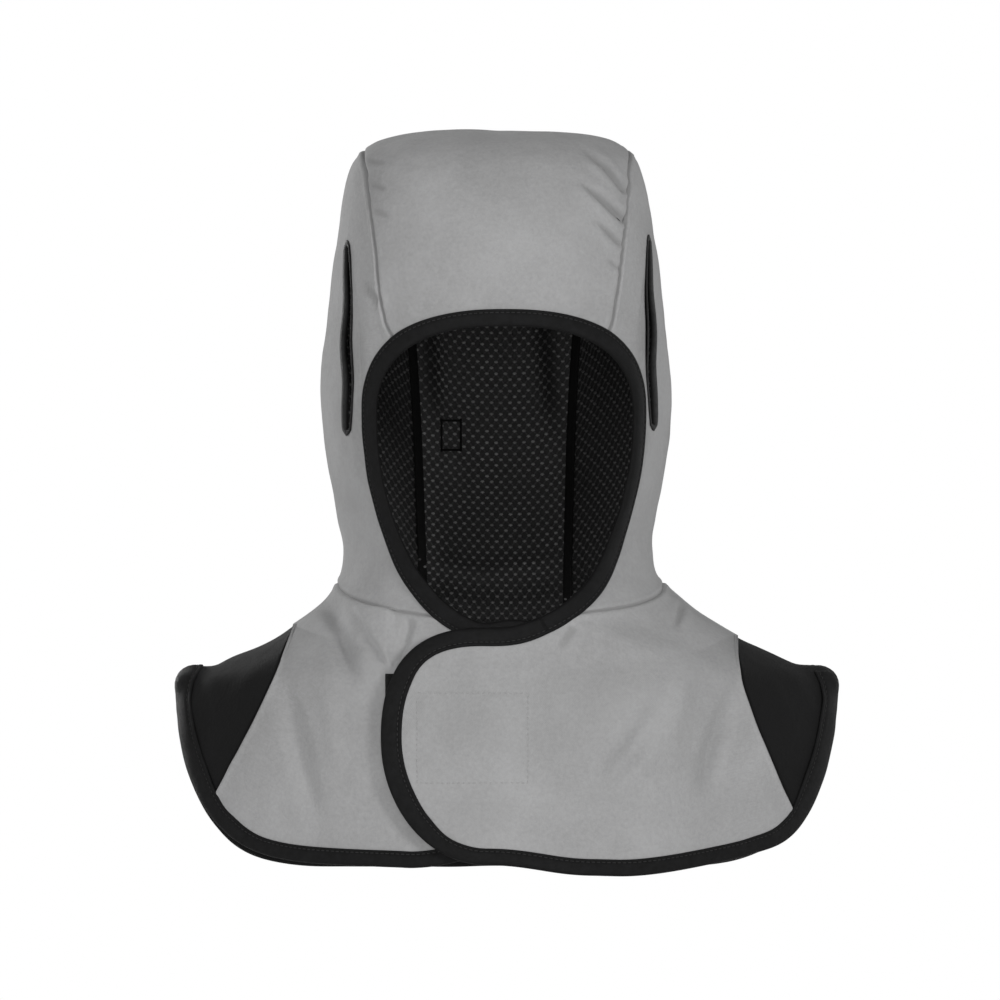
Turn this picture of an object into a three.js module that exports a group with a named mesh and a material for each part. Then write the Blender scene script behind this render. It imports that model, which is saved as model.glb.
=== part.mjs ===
// A welder's head cover in the form it has when it is worn: a close hood of grey cloth with a black mesh
// lining, a wrap-over neck cape with black shoulder gussets, and black tape folded over every free edge.
// Millimetres, +Z up. The face looks along -Y, and left and right are the viewer's, so +X is on the right.
// The origin is inside the top of the crown, where a head carries the cover. A drop is a distance down
// from the outside of the crown's top.
import * as THREE from "three";

// Thicknesses and gaps
const CLOTH = 1.3;
const LINING = 1.0;
const LINING_GAP = 0.9;
const SEAM_GAP = 1.3;
const NECK_GAP = 1.2;
const GUSSET_GAP = 1.5;
const CROWN_TOP = CLOTH + LINING_GAP + LINING;

// The outer form in level sections, each an oval with its own roundness (2 is an ellipse, more is squarer)
// Over the shoulders a section comes to a fold at each side, and lens below 2 says how sharp it is
const FORM = [
  { drop: 0, half: 0, shift: 0, front: 0, back: 0, square: 2.3 },
  { drop: 1.2, half: 37, shift: 0, front: 33, back: 39, square: 2.3 },
  { drop: 6, half: 68, shift: 0, front: 60, back: 70, square: 2.5 },
  { drop: 13, half: 80, shift: 0, front: 75, back: 87, square: 2.7 },
  { drop: 18, half: 84.5, shift: 0, front: 82, back: 94, square: 2.8 },
  { drop: 30, half: 89, shift: 0, front: 92, back: 104, square: 2.9 },
  { drop: 66, half: 95, shift: 0, front: 105, back: 117, square: 2.85 },
  { drop: 114, half: 101.5, shift: 0, front: 109, back: 122, square: 2.5 },
  { drop: 150, half: 105, shift: 0, front: 108, back: 121, square: 2.3 },
  { drop: 174, half: 104.5, shift: 0.3, front: 106, back: 117, square: 2.2 },
  { drop: 210, half: 99.6, shift: 0.3, front: 102, back: 107, square: 2.15 },
  { drop: 234, half: 95, shift: 0.5, front: 98, back: 97, square: 2.1 },
  { drop: 252, half: 92.4, shift: 1.5, front: 96, back: 90, square: 2.1 },
  { drop: 270, half: 96.6, shift: 2, front: 96, back: 88, square: 2.1 },
  { drop: 282, half: 107, shift: 4.8, front: 97, back: 90, square: 2 },
  { drop: 294, half: 123, shift: 5.6, front: 99, back: 94, square: 2, lens: 1.9 },
  { drop: 306, half: 142, shift: 7, front: 102, back: 99, square: 2, lens: 1.75 },
  { drop: 318, half: 169, shift: 6.4, front: 105, back: 104, square: 2, lens: 1.55 },
  { drop: 328, half: 190, shift: 6.4, front: 108, back: 108, square: 2, lens: 1.4 },
  { drop: 340, half: 199.5, shift: 6.4, front: 111, back: 112, square: 2, lens: 1.35 },
  { drop: 355, half: 203, shift: 6.2, front: 114, back: 117, square: 2, lens: 1.35 },
  { drop: 380, half: 206, shift: 6, front: 119, back: 124, square: 2, lens: 1.35 },
  { drop: 446, half: 206, shift: 6, front: 130, back: 137, square: 2, lens: 1.4 },
  { drop: 470, half: 205, shift: 6, front: 133, back: 140, square: 2, lens: 1.4 },
];
const CAPE_MIDDLE = 6;

// The free edge round the face, an egg seen from the front
const FACE = { x: 5.5, drop: 172, half: 77, above: 55, squareAbove: 2.45, below: 125, squareBelow: 2 };

// The seams between crown and sides: half widths at angles from the brow over the top to the nape
const CROWN_SEAM = [
  { angle: -12, left: 57.5, right: 62 },
  { angle: -4, left: 66, right: 69.4 },
  { angle: 0, left: 67.5, right: 70.5 },
  { angle: 24, left: 72.6, right: 75.6 },
  { angle: 50, left: 77, right: 78.8 },
  { angle: 74, left: 79.5, right: 80.2 },
  { angle: 100, left: 77, right: 77 },
  { angle: 135, left: 67, right: 66 },
  { angle: 180, left: 54.5, right: 52 },
  { angle: 260, left: 45, right: 44 },
];
const CROWN_PIVOT = { y: 5, drop: 110 };
const CROWN_BACK = 150;
// Behind the pivot the strip runs straight down, by this much a degree
const NAPE_STEP = 2.4;

// The seam between hood and cape, and the hem: drops at the sides, the front and the back
const NECK = { side: 271.5, front: 293, back: 302, roundness: 0.2 };
const HEM = { side: 331, front: 444.2, back: 444.2, power: 8.2, tilt: 0.03 };

// The rounded ends of the front flaps, and where each one leaves the hem
const FLAP_ENDS = {
  left: { x: 10, drop: 362, reach: 66, above: 69, squareAbove: 2, below: 70, squareBelow: 2, hemX: -52 },
  right: { x: -5, drop: 365, reach: -62, above: 66, squareAbove: 2.4, below: 74.5, squareBelow: 2, hemX: 58 },
};
const FLAP_CORNER = 48;
// The cloth of a flap leaves the neck seam this many degrees before the seam's end, under the tape
const NECK_START = 4;
// How far the right flap stands off the left one it covers, and where it rises to that
const OVERLAP = { lift: 5.9, startDrop: 236, fullDrop: 292, width: 48, neckX: 45, capeX: 86, capeDrop: 320 };

// The shoulder gussets' front seams, from the shoulder's ridge to the hem
const GUSSETS = {
  left: { ridgeDrop: 297, middleX: -145, middleDrop: 352, hemX: -174, apexWidth: 7 },
  right: { ridgeDrop: 304, middleX: 153, middleDrop: 346, hemX: 183, apexWidth: 7 },
};

// The bound slits beside the face
const SLOTS = {
  left: { topX: -88.5, bottomX: -88.5, top: 73.5, bottom: 177 },
  right: { topX: 91, bottomX: 93.6, top: 70, bottom: 174 },
};
const SLOT_HALF = { end: 2.6, middle: 4.6 };
const SLOT_CLOTH_MARGIN = 1.8;
// The line of each slit goes on up to the crown seam, at an angle over it, and down to the neck seam, at a
// turn round it, where the cloth on both sides of the line is this many degrees wide
const SLOT_LINE = { crownAngle: 46, neckTurn: 60, half: 2 };

// Tapes folded over an edge: width over the cloth, thickness of one layer, clearance to the cloth
const EDGE_TAPE = { width: 11.8, layer: 0.7, clear: 1.15 };
const SLOT_TAPE = { width: 3.8, layer: 0.7, clear: 0.8 };
const EDGE_MARGIN = 2.3;

// Where the hood's cloth stops short of its edges, and where the lining does, in shares of a panel's length
const CLOTH_MARGINS = { face: EDGE_MARGIN, seam: SEAM_GAP / 2, neck: NECK_GAP / 2 };
const LINING_DEPTH = CLOTH + LINING_GAP;
const LINING_ENDS = { face: 0.03, nape: 0.01, side: 0.016 };

// The hook-and-loop patch between the flaps
const PATCH = { left: -65.4, right: 18.6, top: 326, bottom: 374, thickness: 1.1, clear: 0.6 };

// Main folds as seen from the front: a ridge rises and a valley sinks by its height
const FOLDS = [
  { name: "crown tuck, upper", x0: 53, drop0: 13, x1: 74, drop1: 37, width: 6, height: -2.4 },
  { name: "crown tuck, lower", x0: 50, drop0: 31, x1: 74, drop1: 56, width: 6, height: -2.2 },
  { name: "crown pucker, left", x0: -73, drop0: 20, x1: -70, drop1: 50, width: 6, height: -1.2 },
  { name: "temple crease, left", x0: -79, drop0: 92, x1: -72, drop1: 101, width: 5, height: -1 },
  { name: "neck ridge, inner", x0: -64, drop0: 296, x1: -66, drop1: 312, width: 6, height: 2.4 },
  { name: "neck ridge, outer", x0: -82, drop0: 292, x1: -73, drop1: 311, width: 6, height: 2.6 },
  { name: "neck hollow, left", x0: -103, drop0: 290, x1: -95, drop1: 318, width: 11, height: -3.5 },
  { name: "neck fold, right", x0: 110, drop0: 290, x1: 106, drop1: 300, width: 5, height: -1.8 },
  { name: "left flap valley", x0: -124, drop0: 338, x1: -112, drop1: 392, width: 15, height: -4 },
  { name: "right flap valley, inner", x0: 94, drop0: 352, x1: 66, drop1: 386, width: 15, height: -2 },
  { name: "right flap valley, outer", x0: 136, drop0: 350, x1: 126, drop1: 388, width: 13, height: -3 },
];

// Rows and columns of each cloth piece's grid
const GRIDS = {
  crown: { rows: 24, columns: 8 },
  side: { above: 3, slot: 7, below: 6, front: 4, back: 8 },
  flap: { rows: 12, columns: 13 },
  back: { rows: 8, columns: 22 },
  gusset: { rows: 9, columns: 18 },
  patch: { rows: 4, columns: 5 },
};
const EDGE_STEPS = 172;
const TIP = { spread: 14, density: 3, margin: 3 };
const SLOT_STEPS = { side: 6, end: 4 };
// How grids close up under a tape, at the hem and over the shoulder's fold (1 is even)
const GRADING = { tape: 1.2, hem: 1.4, fold: 1.5 };
// Points read along each line, and degrees between points round a flap's end
const POINTS = {
  face: 140,
  seam: 60,
  neck: 40,
  hem: 80,
  wholeHem: 300,
  ridge: 16,
  gusset: 60,
  lead: 10,
  lip: 40,
};
const FLAP_STEP = 6;
// How far the ends of a flap's lead-in curves reach towards each other
const LEAD = 0.4;
// Almost a quarter turn to either side, between which a line on the front is looked for
const FRONT_TURN = 89;
// Angles over the crown between which the face's edge and the neck seam are looked for
const BROW_ANGLES = { from: 40, to: -25 };
const NAPE_ANGLES = { from: 200, to: 280 };
const CROWN_REACH = 260;
const ROUNDS = { solve: 48, settle: 10, hem: 30 };
const GRADIENT_STEP = 0.02;

const GREY = "#8f8f8f";
const BLACK = "#1b1b1c";
const ROUGHNESS = { grey: 0.9, gusset: 0.85, tape: 0.8, lining: 0.8, patch: 0.95 };

// Smooth cubic through values at rising positions
function spline(positions, values) {
  const last = positions.length - 1;
  const secant = (i) => (values[i + 1] - values[i]) / (positions[i + 1] - positions[i]);
  const slopes = positions.map((position, i) => {
    if (i === 0) return secant(0);
    if (i === last) return secant(last - 1);
    const before = position - positions[i - 1];
    const after = positions[i + 1] - position;
    return (secant(i - 1) * after + secant(i) * before) / (before + after);
  });
  return (x) => {
    let i = 0;
    while (i < last - 1 && x > positions[i + 1]) i += 1;
    const span = positions[i + 1] - positions[i];
    const t = (x - positions[i]) / span;
    const rise = t * t * (3 - 2 * t);
    const leave = span * slopes[i] * t * (1 - t) * (1 - t);
    const arrive = span * slopes[i + 1] * t * t * (t - 1);
    return values[i] * (1 - rise) + values[i + 1] * rise + leave + arrive;
  };
}

function smoothStep(from, to, value) {
  return THREE.MathUtils.smoothstep(value, from, to);
}

// A value between low and high where a rising function crosses zero
function solve(low, high, rising) {
  for (let i = 0; i < ROUNDS.solve; i += 1) {
    const middle = (low + high) / 2;
    if (rising(middle) < 0) low = middle;
    else high = middle;
  }
  return (low + high) / 2;
}

// The form as a whole, read by the root of the drop so that the crown is a smooth dome
const formColumns = {};
for (const key of ["half", "shift", "front", "back", "square", "lens"]) {
  const values = FORM.map((row) => row[key] ?? row.square);
  formColumns[key] = spline(FORM.map((row) => Math.sqrt(row.drop)), values);
}

function section(drop) {
  const at = Math.sqrt(Math.max(drop, 1e-4));
  return {
    half: formColumns.half(at),
    shift: formColumns.shift(at),
    front: formColumns.front(at),
    back: formColumns.back(at),
    square: formColumns.square(at),
    lens: formColumns.lens(at),
  };
}

const dropOf = (point) => CROWN_TOP - point.z;

// How far out a point is: 1 on the form, less inside it
function reachOf(point) {
  const oval = section(dropOf(point));
  const depth = point.y < 0 ? oval.front : oval.back;
  const across = Math.abs(point.x - oval.shift) / oval.half;
  const along = Math.abs(point.y) / depth;
  return (across ** oval.square + along ** oval.lens) ** (2 / (oval.square + oval.lens));
}

function reachGradient(point) {
  const gradient = new THREE.Vector3();
  for (const axis of ["x", "y", "z"]) {
    const ahead = point.clone();
    const behind = point.clone();
    ahead[axis] += GRADIENT_STEP;
    behind[axis] -= GRADIENT_STEP;
    gradient[axis] = (reachOf(ahead) - reachOf(behind)) / (2 * GRADIENT_STEP);
  }
  return gradient;
}

function normalAt(point) {
  const gradient = reachGradient(point);
  return gradient.lengthSq() > 0 ? gradient.normalize() : new THREE.Vector3(0, 0, 1);
}

// Moves a point near the form onto it
function settle(point) {
  const settled = point.clone();
  for (let i = 0; i < ROUNDS.settle; i += 1) {
    const gradient = reachGradient(settled);
    settled.addScaledVector(gradient, (1 - reachOf(settled)) / gradient.lengthSq());
  }
  return settled;
}

// The point of the form that is seen from the front at x and a drop
function onFront(x, drop) {
  const oval = section(drop);
  const across = Math.min(Math.abs(x - oval.shift) / oval.half, 1);
  const along = (1 - across ** oval.square) ** (1 / oval.lens);
  return new THREE.Vector3(x, -oval.front * along, CROWN_TOP - drop);
}

function onBack(x, drop) {
  const oval = section(drop);
  const front = onFront(x, drop);
  return new THREE.Vector3(x, (-front.y * oval.back) / oval.front, front.z);
}

// The point of the form at a turn about the vertical, from 0 at the front to 90 degrees on the right
function around(turn, drop) {
  const oval = section(drop);
  const across = Math.sin(THREE.MathUtils.degToRad(turn));
  const along = Math.cos(THREE.MathUtils.degToRad(turn));
  const depth = along > 0 ? oval.front : oval.back;
  const sideways = Math.abs(across) / oval.half;
  const ahead = Math.abs(along) / depth;
  const radius = solve(0, oval.half + depth, (distance) => {
    return (distance * sideways) ** oval.square + (distance * ahead) ** oval.lens - 1;
  });
  return new THREE.Vector3(oval.shift + radius * across, -radius * along, CROWN_TOP - drop);
}

function turnOf(point) {
  const { shift } = section(dropOf(point));
  return THREE.MathUtils.radToDeg(Math.atan2(point.x - shift, -point.y));
}

// The point of the form at x, in a direction from the crown's pivot: 0 to the front, 90 degrees up
function overCrown(x, angle) {
  if (angle > 180) return onBack(x, CROWN_PIVOT.drop + (angle - 180) * NAPE_STEP);
  const ahead = -Math.cos(THREE.MathUtils.degToRad(angle));
  const up = Math.sin(THREE.MathUtils.degToRad(angle));
  const pivotZ = CROWN_TOP - CROWN_PIVOT.drop;
  const spot = (distance) => new THREE.Vector3(x, CROWN_PIVOT.y + distance * ahead, pivotZ + distance * up);
  return spot(solve(0, CROWN_REACH, (distance) => reachOf(spot(distance)) - 1));
}

// Seams and edges
const seamWidth = {
  left: spline(CROWN_SEAM.map((row) => row.angle), CROWN_SEAM.map((row) => row.left)),
  right: spline(CROWN_SEAM.map((row) => row.angle), CROWN_SEAM.map((row) => row.right)),
};
const SIGN = { left: -1, right: 1 };

function crownPoint(across, angle) {
  const left = -seamWidth.left(angle);
  const right = seamWidth.right(angle);
  return overCrown(left + (right - left) * across, angle);
}

function neckDrop(turn) {
  const flat = around(turn, NECK.side);
  const oval = section(NECK.side);
  const share = flat.y < 0 ? -flat.y / oval.front : flat.y / oval.back;
  const rounded = Math.hypot(share, NECK.roundness) - NECK.roundness;
  const most = Math.hypot(1, NECK.roundness) - NECK.roundness;
  const end = flat.y < 0 ? NECK.front : NECK.back;
  return NECK.side + ((end - NECK.side) * rounded) / most;
}

const neckPoint = (turn) => around(turn, neckDrop(turn));

function hemPoint(turn) {
  let drop = HEM.front;
  for (let i = 0; i < ROUNDS.hem; i += 1) {
    const point = around(turn, drop);
    const across = Math.min(Math.abs(point.x - section(drop).shift) / section(drop).half, 1);
    const share = 1 - across ** HEM.power;
    const end = point.y < 0 ? HEM.front + HEM.tilt * (point.x - CAPE_MIDDLE) : HEM.back;
    drop = (drop + HEM.side + (end - HEM.side) * share) / 2;
  }
  return around(turn, drop);
}

// The turn at which the hem is at x, on the front
function hemTurn(x) {
  return solve(-FRONT_TURN, FRONT_TURN, (turn) => hemPoint(turn).x - x);
}

// A point of an oval with its own heights above and below its widest place
function eggPoint(egg, half, degrees) {
  const across = Math.cos(THREE.MathUtils.degToRad(degrees));
  const up = Math.sin(THREE.MathUtils.degToRad(degrees));
  const height = up > 0 ? egg.above : egg.below;
  const square = up > 0 ? egg.squareAbove : egg.squareBelow;
  const sum = (Math.abs(across) / Math.abs(half)) ** square + (Math.abs(up) / height) ** square;
  const radius = sum ** (-1 / square);
  return { x: egg.x + Math.sign(half) * radius * across, drop: egg.drop - radius * up };
}

function facePoint(degrees) {
  const { x, drop } = eggPoint(FACE, FACE.half, degrees);
  return onFront(x, drop);
}

// Where the face's edge meets the neck seam: below the right at about -70 degrees, below the left at -110
function belowNeck(degrees) {
  const point = facePoint(degrees);
  return dropOf(point) - neckDrop(turnOf(point));
}
const faceStart = { right: solve(-40, -88, belowNeck), left: solve(-140, -92, belowNeck) };

function bezier(start, startAim, endAim, end, count) {
  const curve = new THREE.CubicBezierCurve(
    new THREE.Vector2(start.x, start.drop),
    new THREE.Vector2(startAim.x, startAim.drop),
    new THREE.Vector2(endAim.x, endAim.drop),
    new THREE.Vector2(end.x, end.drop),
  );
  return curve.getPoints(count).map((spot) => onFront(spot.x, spot.y));
}

const asSpot = (point) => ({ x: point.x, drop: dropOf(point) });

// A front flap's free edge, from the neck seam round its end to the hem, and the places on it where the
// flap's end turns into its top and its bottom
function flapEdge(side) {
  const end = FLAP_ENDS[side];
  const neck = asSpot(facePoint(faceStart[side]));
  const before = asSpot(facePoint(faceStart[side] + SIGN[side] * 2));
  const lead = (end.x - neck.x) * LEAD;
  const slope = (neck.drop - before.drop) / (neck.x - before.x);
  const top = { x: end.x, drop: end.drop - end.above };
  const bottom = { x: end.x, drop: end.drop + end.below };
  const hem = asSpot(hemPoint(hemTurn(end.hemX)));
  const hemLead = (hem.x - bottom.x) * LEAD;
  const points = bezier(
    neck,
    { x: neck.x + lead, drop: neck.drop + lead * slope },
    { x: top.x - lead, drop: top.drop },
    top,
    POINTS.lead,
  );
  const corners = {};
  for (let degrees = 90 - FLAP_STEP; degrees > -90; degrees -= FLAP_STEP) {
    const { x, drop } = eggPoint(end, end.reach, degrees);
    if (degrees === FLAP_CORNER) corners.top = points.length;
    if (degrees === -FLAP_CORNER) corners.bottom = points.length;
    points.push(onFront(x, drop));
  }
  const out = bezier(
    bottom,
    { x: bottom.x + hemLead, drop: bottom.drop },
    { x: hem.x - hemLead, drop: hem.drop },
    hem,
    POINTS.lead,
  );
  return { points: points.concat(out), corners };
}

function samples(count, at) {
  return Array.from({ length: count + 1 }, (unused, i) => at(i / count));
}

const mix = THREE.MathUtils.lerp;

function neckLine(from, to) {
  return samples(POINTS.neck, (s) => neckPoint(mix(from, to, s)));
}

function hemLine(from, to) {
  return samples(POINTS.hem, (s) => hemPoint(mix(from, to, s)));
}

// The shoulder's ridge, at 90 degrees to either side
function ridgeLine(side, from, to) {
  return samples(POINTS.ridge, (s) => around(SIGN[side] * 90, mix(from, to, s)));
}

// A gusset's seam, from the blunt apex on the ridge to the hem, in front or mirrored behind
function gussetLine(side, facing) {
  const gusset = GUSSETS[side];
  const ridge = around(SIGN[side] * 90, gusset.ridgeDrop);
  const apex = settle(new THREE.Vector3(ridge.x, (facing * gusset.apexWidth) / 2, ridge.z));
  const hem = hemPoint(hemTurn(gusset.hemX));
  const middle = onFront(gusset.middleX, gusset.middleDrop);
  const bend = new THREE.QuadraticBezierCurve(
    new THREE.Vector2(apex.x, dropOf(apex)),
    new THREE.Vector2(
      2 * middle.x - (apex.x + hem.x) / 2,
      2 * dropOf(middle) - (dropOf(apex) + dropOf(hem)) / 2,
    ),
    new THREE.Vector2(hem.x, dropOf(hem)),
  );
  const line = bend.getPoints(POINTS.gusset).slice(1).map((spot) => {
    return facing < 0 ? onFront(spot.x, spot.y) : onBack(spot.x, spot.y);
  });
  const last = line.length - 1;
  if (facing > 0) line[last] = hemPoint(SIGN[side] * 180 - hemTurnBehind(side, line[last].x));
  return [apex].concat(line);
}

// The turn, counted from the back, at which the hem behind is at x
function hemTurnBehind(side, x) {
  return solve(-FRONT_TURN, FRONT_TURN, (turn) => hemPoint(SIGN[side] * 180 - turn).x - x);
}

// A line through points, read at a share of its length
function along(points) {
  const lengths = [0];
  for (let i = 1; i < points.length; i += 1) {
    lengths.push(lengths[i - 1] + points[i].distanceTo(points[i - 1]));
  }
  const length = lengths[lengths.length - 1];
  const at = (share) => {
    const target = THREE.MathUtils.clamp(share, 0, 1) * length;
    let i = 0;
    while (i < points.length - 2 && target > lengths[i + 1]) i += 1;
    const within = (target - lengths[i]) / (lengths[i + 1] - lengths[i] || 1);
    return points[i].clone().lerp(points[i + 1], within);
  };
  return { length, at };
}

// A line moved sideways over the form, into the cloth on the side that hand gives
function inset(points, distance, hand) {
  return points.map((point, i) => {
    const ahead = points[Math.min(i + 1, points.length - 1)];
    const behind = points[Math.max(i - 1, 0)];
    const inward = ahead.clone().sub(behind).cross(normalAt(point)).normalize();
    return settle(point.clone().addScaledVector(inward, hand * distance));
  });
}

// Where two lines come nearest
function meeting(first, second) {
  let nearest = { distance: Infinity };
  first.forEach((point, i) => second.forEach((other, j) => {
    const distance = point.distanceTo(other);
    if (distance < nearest.distance) nearest = { distance, i, j, point: point.clone().lerp(other, 0.5) };
  }));
  return nearest;
}

// A grid of points on the form between four edges that cross at the corners, held back by margins
// left and right run downwards, top and bottom from left to right
function patch(edges, margins, rowShares, columnShares) {
  const topLeft = meeting(edges.left, edges.top);
  const topRight = meeting(edges.right, edges.top);
  const bottomLeft = meeting(edges.left, edges.bottom);
  const bottomRight = meeting(edges.right, edges.bottom);
  const between = (line, from, to, first, last) => along([first, ...line.slice(from + 1, to), last]);
  const left = between(edges.left, topLeft.i, bottomLeft.i, topLeft.point, bottomLeft.point);
  const right = between(edges.right, topRight.i, bottomRight.i, topRight.point, bottomRight.point);
  const top = between(edges.top, topLeft.j, topRight.j, topLeft.point, topRight.point);
  const bottom = between(edges.bottom, bottomLeft.j, bottomRight.j, bottomLeft.point, bottomRight.point);
  const corner = [top.at(0), top.at(1), bottom.at(0), bottom.at(1)];
  return rowShares.map((row) => columnShares.map((column) => {
    const width = mix(top.length, bottom.length, row);
    const height = mix(left.length, right.length, column);
    const u = mix(margins.left / width, 1 - margins.right / width, column);
    const v = mix(margins.top / height, 1 - margins.bottom / height, row);
    const point = new THREE.Vector3();
    point.addScaledVector(left.at(v), 1 - u).addScaledVector(right.at(v), u);
    point.addScaledVector(top.at(u), 1 - v).addScaledVector(bottom.at(u), v);
    point.addScaledVector(corner[0], -(1 - u) * (1 - v)).addScaledVector(corner[1], -u * (1 - v));
    point.addScaledVector(corner[2], -(1 - u) * v).addScaledVector(corner[3], -u * v);
    return settle(point);
  }));
}

const evenShares = (count) => samples(count, (s) => s);

// Shares that start with narrow cells, under the tape
const tapedShares = (count) => samples(count, (s) => s ** GRADING.tape);

// Shares that end with narrow cells, at the hem
const hemShares = (count) => samples(count, (s) => 1 - (1 - s) ** GRADING.hem);

// Shares that are close together in the middle, where the hem turns over the shoulder
const archShares = (count) => samples(count, (s) => {
  const half = Math.abs(2 * s - 1) ** GRADING.fold / 2;
  return s < 0.5 ? 0.5 - half : 0.5 + half;
});

// How far the cloth stands off the form: folds on the front, and the right flap over the left one
const FOLDS_ON = {
  both: FOLDS,
  left: FOLDS.filter((fold) => fold.x0 < 0),
  right: FOLDS.filter((fold) => fold.x0 > 0),
};

function foldHeight(point, where) {
  if (point.y > 0) return 0;
  let height = 0;
  for (const fold of FOLDS_ON[where]) {
    const run = new THREE.Vector2(fold.x1 - fold.x0, fold.drop1 - fold.drop0);
    const from = new THREE.Vector2(point.x - fold.x0, dropOf(point) - fold.drop0);
    const share = THREE.MathUtils.clamp(from.dot(run) / run.lengthSq(), 0, 1);
    const away = from.distanceTo(run.clone().multiplyScalar(share)) / fold.width;
    height += fold.height * Math.exp(-2 * away * away);
  }
  return height;
}

function overlapLift(point) {
  if (point.y > 0) return 0;
  const drop = dropOf(point);
  const inner = mix(OVERLAP.neckX, OVERLAP.capeX, smoothStep(OVERLAP.fullDrop, OVERLAP.capeDrop, drop));
  const sideways = 1 - smoothStep(inner, inner + OVERLAP.width, point.x);
  return OVERLAP.lift * sideways * smoothStep(OVERLAP.startDrop, OVERLAP.fullDrop, drop);
}

const flat = () => 0;
const lifted = (point) => overlapLift(point);
const folded = {
  both: (point) => foldHeight(point, "both"),
  left: (point) => foldHeight(point, "left"),
  right: (point) => foldHeight(point, "right") + overlapLift(point),
};

function geometryOf(vertices, triangles) {
  let volume = 0;
  for (let i = 0; i < triangles.length; i += 3) {
    const [a, b, c] = triangles.slice(i, i + 3).map((index) => vertices[index]);
    volume += a.dot(b.clone().cross(c));
  }
  const facing = volume < 0 ? triangles.slice().reverse() : triangles;
  const geometry = new THREE.BufferGeometry();
  const positions = vertices.flatMap((vertex) => [vertex.x, vertex.y, vertex.z]);
  geometry.setAttribute("position", new THREE.Float32BufferAttribute(positions, 3));
  geometry.setIndex(facing);
  geometry.computeVertexNormals();
  return geometry;
}

// A wall with an outer and an inner face at depths below the form, over a grid of points
// isOpen says which cells are cut out
function wall(grid, outer, inner, rise, isOpen = () => false) {
  const rows = grid.length;
  const columns = grid[0].length;
  const places = new Map();
  const vertices = [];
  const triangles = [];
  const vertex = (face, row, column) => {
    const key = (face * rows + row) * columns + column;
    if (!places.has(key)) {
      const point = grid[row][column];
      const offset = rise(point) - (face === 0 ? outer : inner);
      places.set(key, vertices.length);
      vertices.push(point.clone().addScaledVector(normalAt(point), offset));
    }
    return places.get(key);
  };
  const quad = (a, b, c, d) => triangles.push(a, b, c, a, c, d);
  const isCloth = (row, column) => {
    const inside = row >= 0 && column >= 0 && row < rows - 1 && column < columns - 1;
    return inside && !isOpen(row, column);
  };
  const rim = (row0, column0, row1, column1) => {
    quad(
      vertex(0, row1, column1),
      vertex(0, row0, column0),
      vertex(1, row0, column0),
      vertex(1, row1, column1),
    );
  };
  for (let row = 0; row < rows - 1; row += 1) {
    for (let column = 0; column < columns - 1; column += 1) {
      if (!isCloth(row, column)) continue;
      quad(
        vertex(0, row, column),
        vertex(0, row + 1, column),
        vertex(0, row + 1, column + 1),
        vertex(0, row, column + 1),
      );
      quad(
        vertex(1, row, column),
        vertex(1, row, column + 1),
        vertex(1, row + 1, column + 1),
        vertex(1, row + 1, column),
      );
      if (!isCloth(row - 1, column)) rim(row, column + 1, row, column);
      if (!isCloth(row + 1, column)) rim(row + 1, column, row + 1, column + 1);
      if (!isCloth(row, column - 1)) rim(row, column, row + 1, column);
      if (!isCloth(row, column + 1)) rim(row + 1, column + 1, row, column + 1);
    }
  }
  return geometryOf(vertices, triangles);
}

// A tape folded over a closed edge. Each step gives a point of the edge and the way into the cloth
function foldedTape(steps, tape) {
  const top = tape.clear + tape.layer;
  const bottom = -CLOTH - top;
  const outline = [
    [tape.width, top],
    [0, top],
    [0, bottom],
    [tape.width, bottom],
    [tape.width, bottom + tape.layer],
    [tape.layer, bottom + tape.layer],
    [tape.layer, top - tape.layer],
    [tape.width, top - tape.layer],
  ];
  const vertices = [];
  const triangles = [];
  const size = outline.length;
  steps.forEach(({ point, inward, rise }, step) => {
    const next = (step + 1) % steps.length;
    outline.forEach(([into, height], i) => {
      const spot = settle(point.clone().addScaledVector(inward, into));
      vertices.push(spot.clone().addScaledVector(normalAt(spot), height + rise(spot)));
      const j = (i + 1) % size;
      const [a, b, c, d] = [step * size + i, next * size + i, next * size + j, step * size + j];
      triangles.push(a, b, c, a, c, d);
    });
  });
  return geometryOf(vertices, triangles);
}

// Steps along a closed line on the form with the way into the cloth, closer together where the hem turns
// over a shoulder
function edgeSteps(points, count, riseAt) {
  const weights = [0];
  for (let i = 1; i <= points.length; i += 1) {
    const point = points[i % points.length];
    const ridge = Math.abs(Math.abs(turnOf(point)) - 90) / TIP.spread;
    const weight = dropOf(point) > NECK.front ? 1 + TIP.density * Math.exp(-ridge * ridge) : 1;
    weights.push(weights[i - 1] + weight * point.distanceTo(points[i - 1]));
  }
  const total = weights[points.length];
  const spots = Array.from({ length: count }, (unused, step) => {
    const target = (total * step) / count;
    let i = 0;
    while (target > weights[i + 1]) i += 1;
    const within = (target - weights[i]) / (weights[i + 1] - weights[i]);
    return { place: i, point: settle(points[i].clone().lerp(points[(i + 1) % points.length], within)) };
  });
  return spots.map(({ place, point }, i) => {
    const ahead = spots[(i + 1) % count].point;
    const behind = spots[(i + count - 1) % count].point;
    const inward = ahead.clone().sub(behind).cross(normalAt(point)).normalize();
    return { point, inward, rise: riseAt(point, place) };
  });
}

const root = new THREE.Group();

function add(name, geometry, colour, roughness) {
  const material = new THREE.MeshStandardMaterial({ color: colour, roughness, metalness: 0 });
  const mesh = new THREE.Mesh(geometry, material);
  mesh.name = name;
  root.add(mesh);
}

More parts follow.
